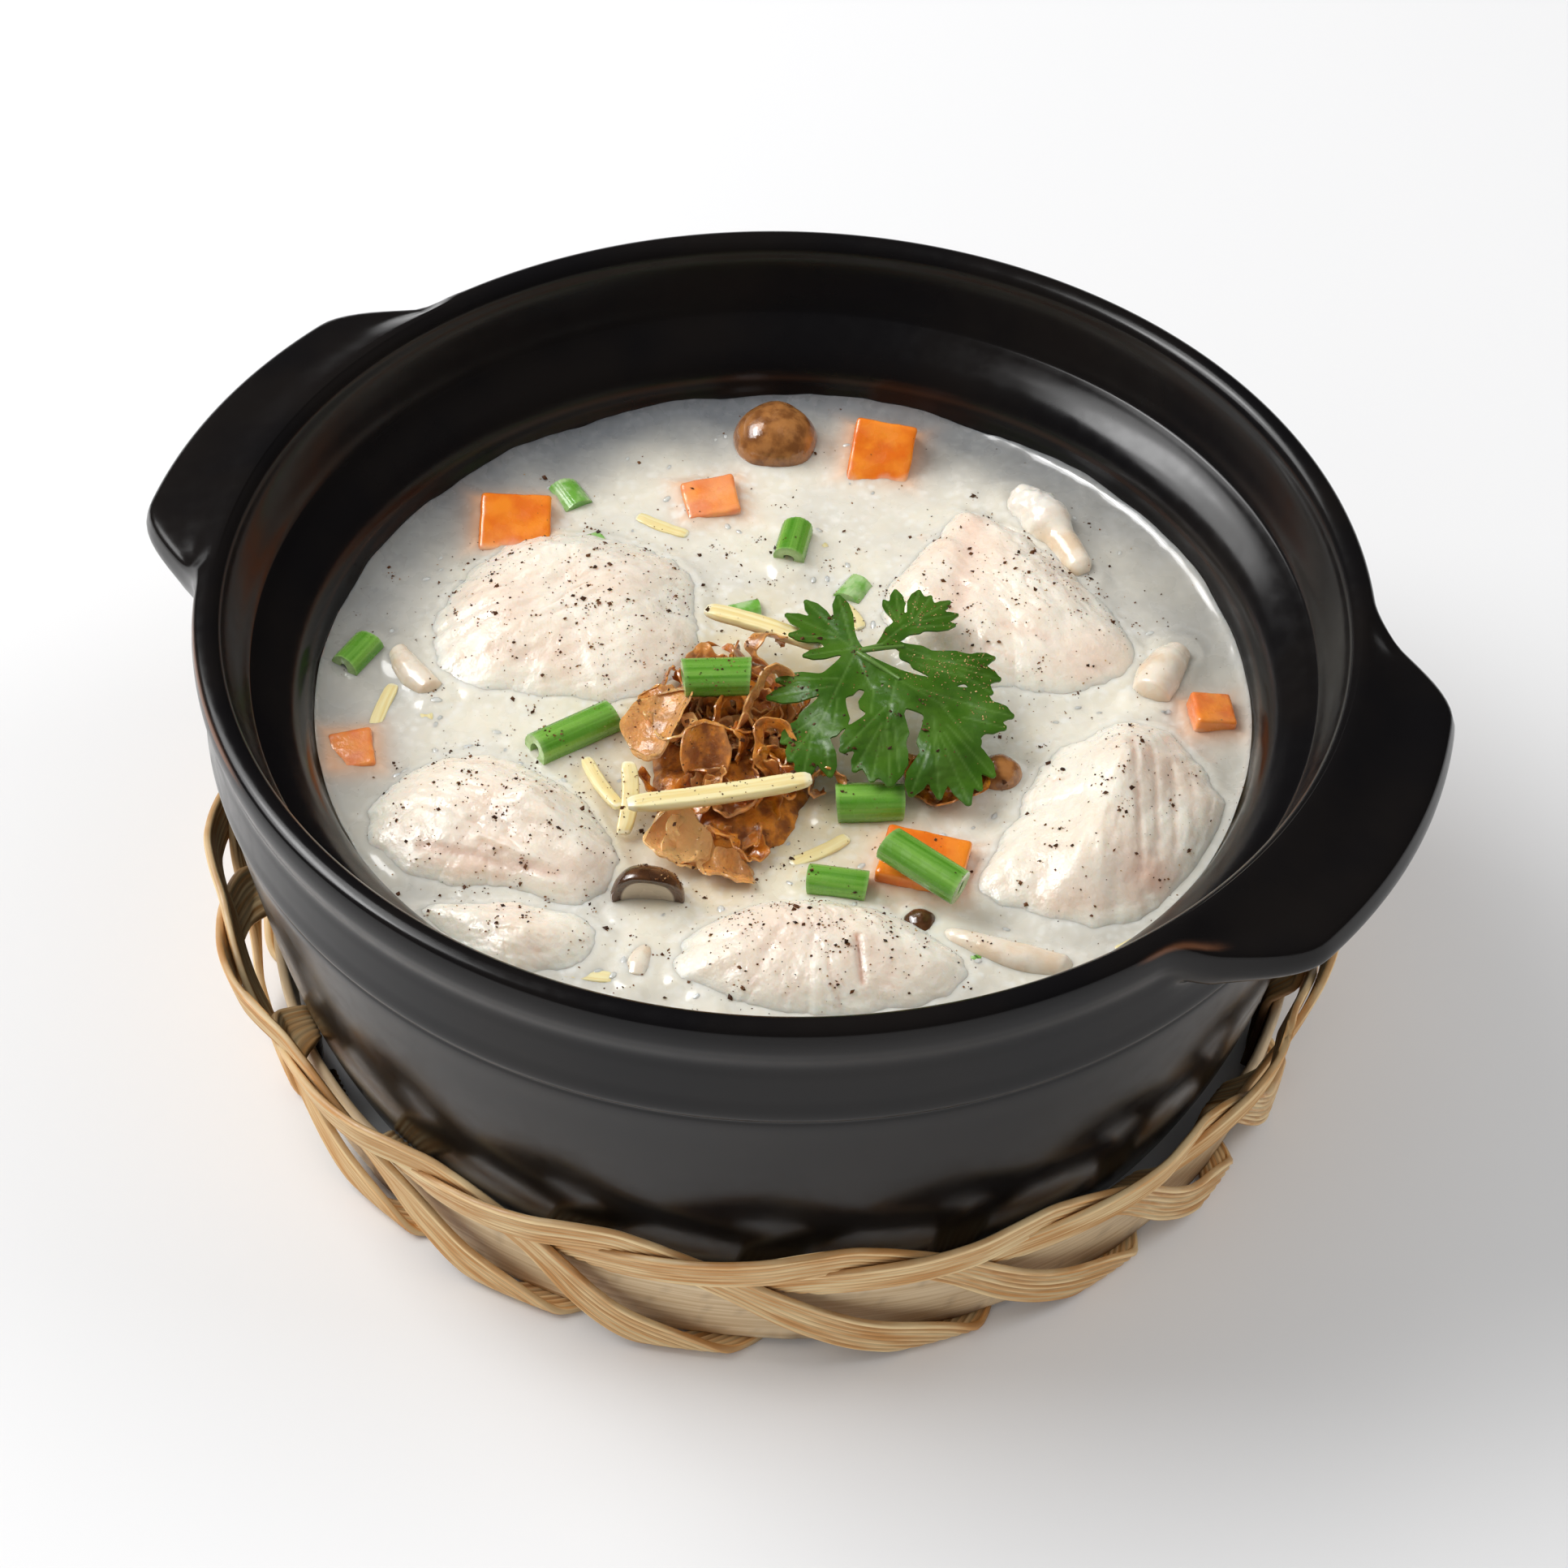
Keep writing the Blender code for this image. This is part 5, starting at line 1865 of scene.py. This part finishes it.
class Scatter:
    """Loose bits that lie on the food: rice grains and pepper."""

    def __init__(self, ground: Sequence[bpy.types.Object]) -> None:
        """Keep the surfaces that the bits lie on.

        Args:
            ground: Pieces of food.
        """
        points: list[Vector] = []
        faces: list[list[int]] = []
        for piece in ground:
            start = len(points)
            points += [v.co.copy() for v in piece.data.vertices]
            faces += [[i + start for i in p.vertices] for p in piece.data.polygons]
        self.tree = BVHTree.FromPolygons(points, faces)

    def drop(self, x: float, y: float) -> tuple[Vector, Vector] | None:
        """Where a bit that falls at a place comes to lie.

        Args:
            x: Place in millimetres.
            y: Place in millimetres.

        Returns:
            The point in millimetres and the surface's normal, or None.
        """
        hit, normal, _, _ = self.tree.ray_cast(Vector((x * MM, y * MM, 0.2)), Vector((0.0, 0.0, -1.0)))
        return None if hit is None else (hit / MM, normal)

    def bits(
        self, draft: Draft, rng: random.Random, spots: Sequence[tuple[float, float, float, float, int]],
        size: Flat, kinds: Flat, keep: Callable[[Vector], bool] = lambda _: True,
    ) -> None:
        """Scatter small angular bits.

        Args:
            draft: Piece that they are added to.
            rng: Source of their places and shapes.
            spots: Clusters: middle, spreads and count.
            size: Smallest and largest radius.
            kinds: Range of the painted kind.
            keep: Says whether a place is wanted.
        """
        corners = np.array([(1, 0, 0), (-1, 0, 0), (0, 1, 0), (0, -1, 0), (0, 0, 1), (0, 0, -1)], float)
        sides = [(0, 2, 4), (2, 1, 4), (1, 3, 4), (3, 0, 4), (2, 0, 5), (1, 2, 5), (3, 1, 5), (0, 3, 5)]
        for cx, cy, sx, sy, count in spots:
            for _ in range(count):
                spot = self.drop(rng.gauss(cx, sx), rng.gauss(cy, sy) - FORWARD)
                if spot is None or not keep(spot[0]):
                    continue
                if size[1] > 0.5 and rng.random() < 0.5:
                    halo = [(spot[0].x, spot[0].y + FORWARD, 0.9, 0.9, rng.randint(3, 9))]
                    self.bits(draft, rng, halo, (0.12, 0.34), (0.3, 0.85), keep)
                radius = rng.uniform(*size) * rng.uniform(0.6, 1.0)
                squash = np.array([rng.uniform(0.7, 1.3), rng.uniform(0.6, 1.1), rng.uniform(0.4, 0.7)])
                dents = [[rng.uniform(-0.25, 0.25) * radius for _ in range(3)] for _ in corners]
                bit = corners * radius * squash + np.array(dents)
                angles = (rng.uniform(-25, 25), rng.uniform(-25, 25), rng.uniform(0, 360))
                at = spot[0] + spot[1] * radius * 0.25
                draft.add(turned(bit, angles, tuple(at)), sides, kind=rng.uniform(*kinds))

    def grains(self, draft: Draft, rng: random.Random, count: int, reach: float) -> None:
        """Scatter rice grains, mostly sunk.

        Args:
            draft: Piece that they are added to.
            rng: Source of their places and sizes.
            count: Number of grains.
            reach: Radius in which they lie.
        """
        v = np.linspace(0.12, math.pi - 0.12, 7)[:, None]
        u = (np.arange(10) * 0.2 * math.pi)[None, :]
        ball = np.stack([np.cos(v) + 0 * u, np.sin(v) * np.cos(u), np.sin(v) * np.sin(u)], -1)
        for _ in range(count):
            r, a = reach * math.sqrt(rng.random()), rng.uniform(0.0, 6.2832)
            spot = self.drop(r * math.cos(a), r * math.sin(a))
            if spot is None or spot[0].z > LEVEL + 1.2 or spot[1].z < 0.9:
                continue
            size = rng.uniform(0.7, 1.15)
            grain = ball * np.array([1.5, 0.85, 0.6]) * size
            angles = (rng.uniform(-20, 20), rng.uniform(-14, 14), rng.uniform(0, 360))
            at = (spot[0].x, spot[0].y, spot[0].z - rng.uniform(0.46, 0.58) * size)
            draft.grid(turned(grain, angles, at), caps=(True, True), stain=0.0, tint=0.0)


# ------------------------------------------------------------------ the food in the pot

@dataclass
class Food:
    """All the food in the pot, in the order in which it is laid."""

    def fish(self) -> list[Fillet]:
        """The six fillets."""
        broad = Fillet(
            "fish_1", (-40.5, 23.0),
            ((-15.5, 24), (-17, 34), (-26, 42), (-38, 46), (-52, 43), (-61, 33), (-66, 20), (-64, 8),
            (-55, 1.5),
             (-40, 0), (-24, 1), (-16, 11)), 8.6,
            crests=(((-56, 22), (-44, 36), 1.8, 11), ((-44, 36), (-28, 33), 2.0, 13),
            ((-30, 26), (-26, 12), 1.2, 9)),
            cuts=(((-58, 10), (-42, 7), 0.7, 1.6), ((-50, 24), (-36, 26), 0.5, 1.6)), edge=2.2,
            pink=(((-52, 20), 9, 0.4), ((-34, 24), 8, 0.25), ((-40, 6), 10, 0.25)), grain=30.0, seed=1.3)
        ridge = Fillet(
            "fish_2", (41.0, 26.0),
            ((62, 26), (57, 34), (51, 42), (44, 49), (37, 53.5), (32.5, 54.5), (28, 48), (22, 38), (17.5, 29),
            (20, 17),
             (28, 9), (40, 5.5), (53, 5), (62, 9), (65, 17)), 7.6,
            crests=(((32.5, 51), (23, 33), 3.8, 8), ((34, 52), (50, 40), 2.2, 8),
            ((41, 42), (46, 24), 2.0, 9)),
            cuts=(((35.5, 47), (31.5, 22), 1.1, 2.4), ((40, 18), (48, 15), 0.8, 1.2)), edge=3.0,
            pink=(((34.5, 38), 7, 0.5), ((57, 10), 11, 0.4), ((31, 24), 7, 0.45), ((50, 33), 7, 0.2)),
            grain=-55.0, seed=4.1)
        folded = Fillet(
            "fish_3", (-50.0, -32.5),
            ((-27.5, -40), (-30, -31), (-38, -22), (-48, -15.5), (-58, -14), (-68, -20), (-73, -31),
            (-69, -42),
             (-58, -46.5), (-47, -47), (-39, -50), (-31, -50)), 7.4,
            crests=(((-62, -24), (-44, -30), 2.4, 10), ((-44, -32), (-32, -42), 3.2, 5.5),
            ((-34, -42), (-33, -47), 1.6, 4),
                    ((-52, -39), (-42, -43.5), 0.9, 0.8)),
            cuts=(((-62, -40), (-38, -46), 1.2, 1.0), ((-54, -36), (-44, -40), 0.6, 0.9)), edge=2.8,
            pink=(((-50, -34), 8, 0.3), ((-52, -45), 9, 0.6), ((-36, -46), 5, 0.4)), grain=-25.0, seed=7.7)
        fold = Fillet(
            "fish_4", (-46.5, -58.0),
            ((-29, -58), (-33, -52.5), (-40, -50.5), (-52, -50), (-62, -52), (-65, -56), (-62, -61.5),
            (-52, -65),
             (-40, -66), (-31, -63)), 4.4,
            crests=(((-58, -55), (-44, -58), 1.4, 5), ((-42, -60), (-34, -59), 1.2, 4)),
            pink=(((-46, -52), 6, 0.4),), grain=-15.0, seed=2.9)
        flaky = Fillet(
            "fish_5", (58.0, -27.0),
            ((80, -26), (78.5, -17), (73.5, -9), (68.5, -3), (62, -1.5), (55, -5), (48, -10), (44, -17),
            (41, -27),
             (36, -37), (34, -44), (41, -49), (50, -52), (58, -52), (66, -48), (72.5, -41), (76.5, -34)), 7.4,
            crests=(((65, -4), (60, -20), 3.8, 8.5), ((60, -20), (54, -40), 4.0, 9.0),
            ((54, -40), (50, -46), 2.0, 7)),
            cuts=tuple(
                ((62.0 + 3.6 * i, -13.0 - 1.6 * i), (62.5 + 3.2 * i, -42.0 + 3.4 * i), 0.75 - 0.1 * i, 0.6)
                for i in range(5)
            ),
            edge=3.0, pink=(((64, -43), 6, 0.85), ((66, -20), 7, 0.4), ((50, -50), 8, 0.35)), grain=78.0,
            seed=5.5)
        low = Fillet(
            "fish_6", (6.0, -60.5),
            ((34, -62.5), (26, -54), (16, -49), (4, -47.5), (-8, -50.5), (-16, -57), (-18, -65), (-11, -70),
            (2, -73.5),
             (18, -73.5), (29, -70)), 7.6,
            crests=(((-6, -54), (14, -54), 1.6, 8), ((18, -60), (26, -64), 1.0, 6)),
            cuts=(((13.5, -61), (14.5, -69), 1.5, 0.5), ((0, -60), (-4, -69), 0.5, 0.9),
            ((6, -60), (5, -69), 0.4, 0.9)),
            edge=2.4, pink=(((2, -60), 9, 0.3), ((14, -64), 5, 0.3)), grain=-70.0, seed=8.2)
        return [broad, ridge, folded, fold, flaky, low]

    def carrots(self) -> list[Dice]:
        """The carrot dice."""
        return [
            Dice("carrot_1", (-52.5, 49.0, -3.0), (13.5, 12.5, 12.0), (20, 3, 2)),
            Dice("carrot_2", (17.5, 71.6, -0.9), (12.0, 13.5, 12.0), (38, 5, -8)),
            Dice("carrot_3", (-15.0, 57.0, -2.2), (10.5, 9.5, 9.0), (8, -6, 12), film=0.2),
            Dice("carrot_4", (77.0, 0.5, -1.0), (7.6, 8.0, 9.0), (0, 10, 8), film=0.08),
            Dice("carrot_5", (-76.8, -13.5, -2.6), (8.0, 9.0, 8.0), (5, -6, 10), film=0.12),
            Dice("carrot_6", (24.8, -38.6, -0.6), (15.0, 11.5, 9.0), (4, 3, -12)),
        ]

    def mushrooms(self) -> list[Cap | Stem]:
        """Caps and stems."""
        return [
            Cap("mushroom_cap_1", (-3.0, 74.4, 0.6), 8.2, 7.2, (0, 0, 0)),
            Cap("mushroom_cap_2", (-22.5, -49.0, 1.6), 6.4, 5.4, (-84, 6, 0), DARK_CAP),
            Cap("mushroom_cap_3", (38.8, -16.0, 0.6), 3.9, 3.8, (12, 20, 0)),
            Cap("mushroom_cap_4", (24.4, -51.6, -0.6), 3.0, 3.0, (10, -14, 0), DARK_CAP),
            Stem("mushroom_stem_1", (-71.5, 13.0, 0.4), (-63.5, 1.4, 0.2), 3.0, 0.8),
            Stem("mushroom_stem_2", (44.0, 60.5, 1.2), (56.0, 38.0, 1.0), 3.9, -0.8, frill=1.1),
            Stem("mushroom_stem_3", (73.0, 18.0, 0.8), (66.6, 4.6, 0.6), 4.3, 0.6),
            Stem("mushroom_stem_4", (28.5, -54.0, 0.3), (50.0, -61.4, 0.1), 2.8, 0.8),
            Stem("mushroom_stem_5", (-22.2, -58.2, -0.6), (-23.8, -66.0, -1.2), 2.7, 0.2),
        ]

    def scallions(self) -> list[Scallion]:
        """The green slices."""
        return [
            Scallion("scallion_1", (-37.4, -9.4, 2.0), 16.5, 3.3, 35.0),
            Scallion("scallion_2", (-12.0, -5.0, 12.6), 12.0, 3.6, 4.0),
            Scallion("scallion_3", (15.6, -25.4, 2.6), 11.5, 3.7, 4.0),
            Scallion("scallion_4", (10.2, -44.2, 1.8), 10.0, 2.9, -8.0),
            Scallion("scallion_5", (24.9, -45.4, 8.0), 15.0, 3.3, -35.0, 6.0),
            Scallion("scallion_6", (1.0, 43.5, 1.8), 8.6, 3.0, 80.0),
            Scallion("scallion_7", (-78.4, 10.4, 1.0), 8.4, 2.9, 62.0),
        ]

    def ginger(self) -> list[Shred]:
        """The shreds that lie on top."""
        return [
            Shred("ginger_1", (-26.5, -34.4, 9.8), (5.2, -27.4, 10.2), 3.6, 2.0, 0.6),
            Shred("ginger_2", (-35.0, -15.6, 1.8), (-28.2, -29.0, 3.4), 2.4, 1.5, 0.5),
            Shred("ginger_3", (-27.0, -21.0, 6.6), (-27.4, -34.0, 1.8), 3.0, 1.6, -0.8),
            Shred("ginger_4", (-14.6, 16.4, 9.2), (6.4, 7.2, 9.4), 3.4, 1.8, -0.6),
        ]

    def shallots(self) -> list[bpy.types.Object]:
        """The heap of crisps and the clump beside it."""
        heap = Crisps("fried_shallots", (-9.0, -13.0), (15.5, 27.0), 8.0, 46, (2.4, 4.6), 5)
        heroes = (
            ("flake", (-21.0, -12.0, 6.8), (10, -26, -29), 6.2, 0.35, 0.5),
            ("curl", (-20.5, -13.0, 8.6), (16, -24, -120), 5.0, 300.0, 0.75),
            ("flake", (-13.6, -18.6, 7.4), (48, 0, 6), 4.4, 0.0, 0.12),
            ("ring", (-2.4, -6.5, 8.6), (58, 6, 30), 4.6, 360.0, 0.45),
            ("curl", (-2.5, 6.0, 7.8), (66, 20, 60), 4.6, 230.0, 0.3),
            ("curl", (-8.0, -4.0, 7.2), (70, -10, 20), 4.4, 270.0, 0.1),
            ("ring", (-1.0, -17.5, 7.2), (40, -10, 30), 4.0, 360.0, 0.1),
            ("curl", (-9.0, -11.0, 7.6), (34, 10, 70), 4.0, 300.0, 0.0),
            ("flake", (-17.5, -36.5, 2.6), (14, -16, 60), 5.0, 0.5, 1.0),
            ("curl", (-16.5, -37.5, 4.0), (26, -10, 40), 3.6, 280.0, 0.9),
            ("curl", (-7.0, -36.5, 3.4), (30, 10, 110), 4.2, 300.0, 0.05),
            ("flake", (-9.0, -41.6, 1.2), (8, 8, 90), 3.8, 0.6, 0.45),
            ("curl", (7.4, -23.0, 4.6), (62, 0, 4), 2.6, 280.0, 0.15),
            ("flake", (-22.0, -4.0, 4.0), (20, -20, 30), 3.4, 0.5, 0.3),
        )
        clump = Crisps("fried_shallot_clump", (28.0, -17.0), (7.0, 4.2), 3.2, 7, (2.0, 3.2), 11)
        smear = (("flake", (31.0, -21.0, 1.6), (14, 0, -84), 4.6, 0.4, 0.0),)
        return [heap.build(heroes), clump.build(smear)]

    def sprig(self) -> bpy.types.Object:
        """The cilantro."""
        left = (
            ((12.6, 4.6), (7.6, 9.6), 3.0), ((12.0, 6.0), (9.5, 18.6), 1.6), ((9.6, 8.6), (3.7, 17.2), 1.5),
            ((9.0, 8.2), (0.3, 13.4), 1.6), ((9.0, 7.4), (1.0, 8.2), 1.4), ((11.5, 4.6), (3.6, 2.8), 1.3),
        )
        upper = (
            ((17.3, 6.0), (21.5, 11.5), 1.9), ((20.0, 9.6), (23.8, 13.2), 2.8),
            ((20.6, 12.0), (17.9, 18.0), 0.9),
            ((20.8, 12.5), (20.0, 20.8), 1.2), ((22.6, 13.0), (24.3, 20.8), 1.3),
            ((23.4, 13.0), (26.4, 19.4), 1.1),
            ((23.6, 12.8), (29.8, 18.2), 1.2), ((24.0, 12.4), (31.2, 14.8), 1.1),
            ((22.6, 10.8), (30.6, 12.0), 1.2),
        )
        powdered = (
            ((20.6, 6.0), (26.0, 3.2), 1.9), ((22.0, 3.6), (35.5, 0.6), 3.0), ((31.0, 2.4), (37.6, 3.6), 1.5),
            ((31.0, 0.6), (38.4, -1.8), 1.9), ((31.0, -0.4), (37.0, -5.4), 1.5),
            ((24.0, 1.2), (33.0, -2.0), 2.6),
        )
        right = (
            ((13.6, 3.4), (20.5, -2.6), 1.3), ((19.0, -1.8), (29.0, -9.5), 4.2),
            ((24.0, -5.0), (37.5, -10.5), 3.6),
            ((33.0, -9.0), (40.4, -11.2), 2.2), ((32.0, -12.0), (39.0, -14.2), 2.2),
            ((28.0, -9.0), (33.5, -18.0), 5.0),
            ((29.0, -14.0), (37.2, -26.2), 1.9), ((28.5, -16.0), (34.9, -29.6), 1.6),
            ((27.5, -16.0), (32.8, -33.2), 1.9),
            ((26.5, -16.0), (27.8, -32.0), 1.5), ((26.5, -12.0), (27.6, -22.0), 3.2),
            ((26.0, -19.0), (22.8, -31.4), 1.9),
        )
        middle = (
            ((20.0, -2.4), (18.6, -12.0), 2.6), ((19.0, -8.0), (17.6, -21.0), 3.8),
            ((18.0, -10.0), (10.8, -20.8), 2.3),
            ((17.5, -14.0), (12.8, -25.8), 1.6), ((17.6, -16.0), (15.8, -28.0), 1.8),
            ((18.4, -16.0), (19.0, -29.0), 2.2),
            ((19.6, -14.0), (20.6, -26.0), 1.8),
        )
        lower = (
            ((12.4, 3.2), (8.8, -7.5), 3.4), ((12.8, 2.4), (15.6, -5.5), 2.6),
            ((16.0, -5.0), (15.5, -11.5), 2.2),
            ((9.6, -3.0), (-1.0, -3.7), 1.7), ((8.6, -5.0), (-2.4, -8.2), 2.1),
            ((9.0, -7.0), (5.4, -18.0), 3.8),
            ((6.5, -12.0), (0.2, -19.2), 1.9), ((5.6, -15.0), (1.4, -23.6), 1.8),
            ((5.4, -16.0), (3.6, -28.4), 1.8),
            ((6.6, -15.0), (8.5, -27.2), 1.6), ((9.6, -8.0), (8.8, -16.0), 2.4),
        )
        return Cilantro((left, upper, powdered, right, middle, lower)).build()

    def sunk(self) -> bpy.types.Object:
        """Bits of scallion that lie under the congee's skin."""
        draft = Draft("scallion_bits_sunk", sharp=55.0)
        spots = (
            (-42.0, 57.5, -1.6, 7.0, 3.4, 120.0), (-38.0, 43.0, -0.9, 6.0, 2.9, 30.0),
            (-7.5, 26.0, -0.8, 5.0, 2.6, 20.0),
            (12.6, 33.0, -1.6, 6.0, 3.0, 60.0), (-28.6, -60.8, -1.9, 4.0, 2.5, 10.0),
            (34.0, -59.6, -1.6, 5.0, 2.6, 40.0),
            (67.5, -47.0, -2.2, 5.0, 2.8, 130.0),
        )
        for i, (x, y, z, length, radius, turn) in enumerate(spots):
            grid, paint = Scallion(f"bit_{i}", (x, y, z), length, radius, turn).grid()
            draft.grid(grid, wrap_rows=True, tint=0.55 * paint["deep"])
        return draft.make(SUNK_GREEN, "scallion")

    def sunk_ginger(self) -> bpy.types.Object:
        """Shreds of ginger that lie just under the congee's skin."""
        draft = Draft("ginger_shreds_sunk", sharp=50.0)
        lines = (
            (-29.0, 52.0, -19.0, 47.0), (4.0, 50.0, 7.0, 44.0), (-71.0, 4.0, -74.0, -12.0),
            (-46.0, -63.5, -20.0, -66.6),
            (2.0, -38.5, 12.0, -31.5), (60.0, 12.0, 66.0, 2.0), (58.0, -57.0, 63.0, -53.0),
            (-64.0, -6.0, -68.0, 8.0),
            (14.0, 22.0, 10.0, 29.0),
        )
        for i, (x0, y0, x1, y1) in enumerate(lines):
            grid, paint = Shred(f"line_{i}", (x0, y0, -0.15), (x1, y1, -0.2), 2.6, 1.4, 0.4).grid()
            draft.grid(grid, caps=(True, True), **paint)
        return draft.make(GINGER, "ginger")

    def build(self) -> list[bpy.types.Object]:
        """Lay all the food and the loose bits on it."""
        wet = [*self.fish(), *self.carrots(), *self.mushrooms(), *self.scallions()]
        made = [Congee(wet).build()]
        made += [piece.build() for piece in (*wet, *self.ginger())]
        made += self.shallots()
        made.append(self.sprig())
        made += [self.sunk(), self.sunk_ginger()]
        self.season(made)
        return made

    def season(self, ground: list[bpy.types.Object]) -> None:
        """Grind pepper over the food.

        Args:
            ground: The food that it falls on.
        """
        rng = random.Random(31)
        scatter = Scatter(ground)
        rice = Draft("rice_grains", sharp=80.0, forward=0.0)
        scatter.grains(rice, rng, 170, 76.0)
        rice.make(CONGEE, "congee")
        fillets = self.fish()
        weights = (70, 64, 44, 8, 40, 56)

        def on_fish(times: int) -> list[tuple[float, float, float, float, int]]:
            """A cluster on each fillet, with so many times its weight of bits."""
            spans = [np.ptp(fillet.corners, 0) for fillet in fillets]
            return [(*f.at, 0.3 * w, 0.28 * h, times * n) for f, (w, h), n in zip(fillets, spans, weights)]

        draft = Draft("pepper_ground", closed=False, sharp=30.0, forward=0.0)
        coarse = on_fish(1) + [(-12.0, -16.0, 17.0, 20.0, 110), (0.0, 10.0, 32.0, 32.0, 80)]
        scatter.bits(draft, rng, coarse, (0.3, 0.72), (0.0, 0.6))
        fine = on_fish(5) + [(-13.0, -14.0, 16.0, 20.0, 900), (0.0, 6.0, 34.0, 36.0, 500)]
        scatter.bits(draft, rng, fine, (0.1, 0.26), (0.15, 0.9))
        powder = [(30.0, 2.0, 6.0, 4.0, 260), (25.0, 14.0, 4.0, 3.0, 90), (37.0, -6.0, 4.0, 4.0, 90)]
        scatter.bits(draft, rng, powder, (0.12, 0.26), (0.75, 1.0), lambda p: p.z > LEVEL + 7.0)
        draft.make(PEPPER, "fried_shallot")


# ------------------------------------------------------------------ the studio

@dataclass
class Studio:
    """Floor, soft lights and camera.

    Attributes:
        distance: From the camera to the pot's lid seat.
        elevation: The camera's angle above the table.
        pitch: Turn of the view up from the lid seat.
        yaw: Turn of the view to the right.
        roll: Turn of the view about itself.
        lens: Focal length for a sensor 36 wide.
        seat: Height of the point that the distance is measured to.
    """

    distance: float = 661.0
    elevation: float = 43.69
    pitch: float = -1.718
    yaw: float = 0.041
    roll: float = 1.53
    lens: float = 83.85
    seat: float = 74.5

    def camera(self) -> bpy.types.Object:
        """Place the camera and make it the scene's."""
        e = math.radians(self.elevation)
        eye = Vector((0.0, -math.cos(e), math.sin(e))) * self.distance
        forward = -eye.normalized()
        right = Vector((1.0, 0.0, 0.0))
        up = right.cross(forward)
        for angle, order in ((self.pitch, 0), (self.yaw, 1), (self.roll, 2)):
            c, s = slant(angle)
            if order == 0:
                forward, up = forward * c + up * s, up * c - forward * s
            elif order == 1:
                forward, right = forward * c + right * s, right * c - forward * s
            else:
                right, up = right * c + up * s, up * c - right * s
        data = bpy.data.cameras.new("camera")
        data.lens = self.lens
        data.sensor_width = 36.0
        data.clip_start = 0.01
        made = bpy.data.objects.new("camera", data)
        turn = Matrix((right, up, -forward)).transposed().to_4x4()
        made.matrix_world = Matrix.Translation((eye + Vector((0.0, 0.0, self.seat))) * MM) @ turn
        bpy.context.scene.collection.objects.link(made)
        bpy.context.scene.camera = made
        return made

    def light(
        self, name: str, towards: Place, distance: float, size: Flat, power: float, shiny: bool = True,
        lit: bool = True,
    ) -> None:
        """Hang a soft light that faces the pot.

        Args:
            name: Its name.
            towards: Direction from the pot to it.
            distance: Its distance in metres.
            size: Its width and height in metres.
            power: Its power in watts.
            shiny: Whether gloss mirrors it.
            lit: Whether it also lights what it falls on.
        """
        data = bpy.data.lights.new(name, "AREA")
        data.shape = "RECTANGLE"
        data.size, data.size_y = size
        data.energy = power
        made = bpy.data.objects.new(name, data)
        made.visible_glossy = shiny
        made.visible_diffuse = lit
        direction = Vector(towards).normalized()
        made.location = direction * distance + Vector((0.0, 0.0, 0.06))
        made.rotation_euler = direction.to_track_quat("Z", "Y").to_euler()
        bpy.context.scene.collection.objects.link(made)

    def floor(self) -> bpy.types.Object:
        """Lay the plain pale floor."""
        data = bpy.data.meshes.new("floor")
        half = 6.0
        corners = [(-half, -half, 0.0), (half, -half, 0.0), (half, half, 0.0), (-half, half, 0.0)]
        data.from_pydata(corners, [], [(0, 1, 2, 3)])
        material = bpy.data.materials.new("floor_white")
        material.use_nodes = True
        shader = material.node_tree.nodes["Principled BSDF"]
        shader.inputs["Base Color"].default_value = (0.81, 0.81, 0.815, 1.0)
        shader.inputs["Roughness"].default_value = 0.9
        shader.inputs["Specular IOR Level"].default_value = 0.1
        data.materials.append(material)
        made = bpy.data.objects.new("floor", data)
        bpy.context.scene.collection.objects.link(made)
        return made

    def build(self) -> None:
        """Set the whole studio."""
        self.camera()
        self.floor()
        self.light("key_left", (-0.66, 0.2, 0.72), 1.5, (1.0, 1.0), 21.0)
        self.light("glint_left", (-0.66, 0.12, 0.74), 1.45, (0.7, 0.3), 9.0, lit=False)
        self.light("back_right", (0.7, 0.05, 0.7), 1.8, (0.9, 0.7), 7.0, shiny=False)
        self.light("front_fill", (-0.3, -0.9, 0.35), 1.6, (0.8, 0.6), 1.9, shiny=False)
        scene = bpy.context.scene
        world = bpy.data.worlds.new("studio_air")
        world.use_nodes = True
        world.node_tree.nodes["Background"].inputs[0].default_value = (1.0, 1.0, 1.0, 1.0)
        world.node_tree.nodes["Background"].inputs[1].default_value = 0.49
        world.cycles_visibility.glossy = False
        scene.world = world
        scene.view_settings.view_transform = "Standard"


def main() -> None:
    """Build the whole object and the studio."""
    logging.basicConfig(level=logging.INFO, format="%(message)s")
    Studio().build()
    ClayPot().build()
    BambooRing().build()
    Food().build()


if __name__ == "__main__":
    main()
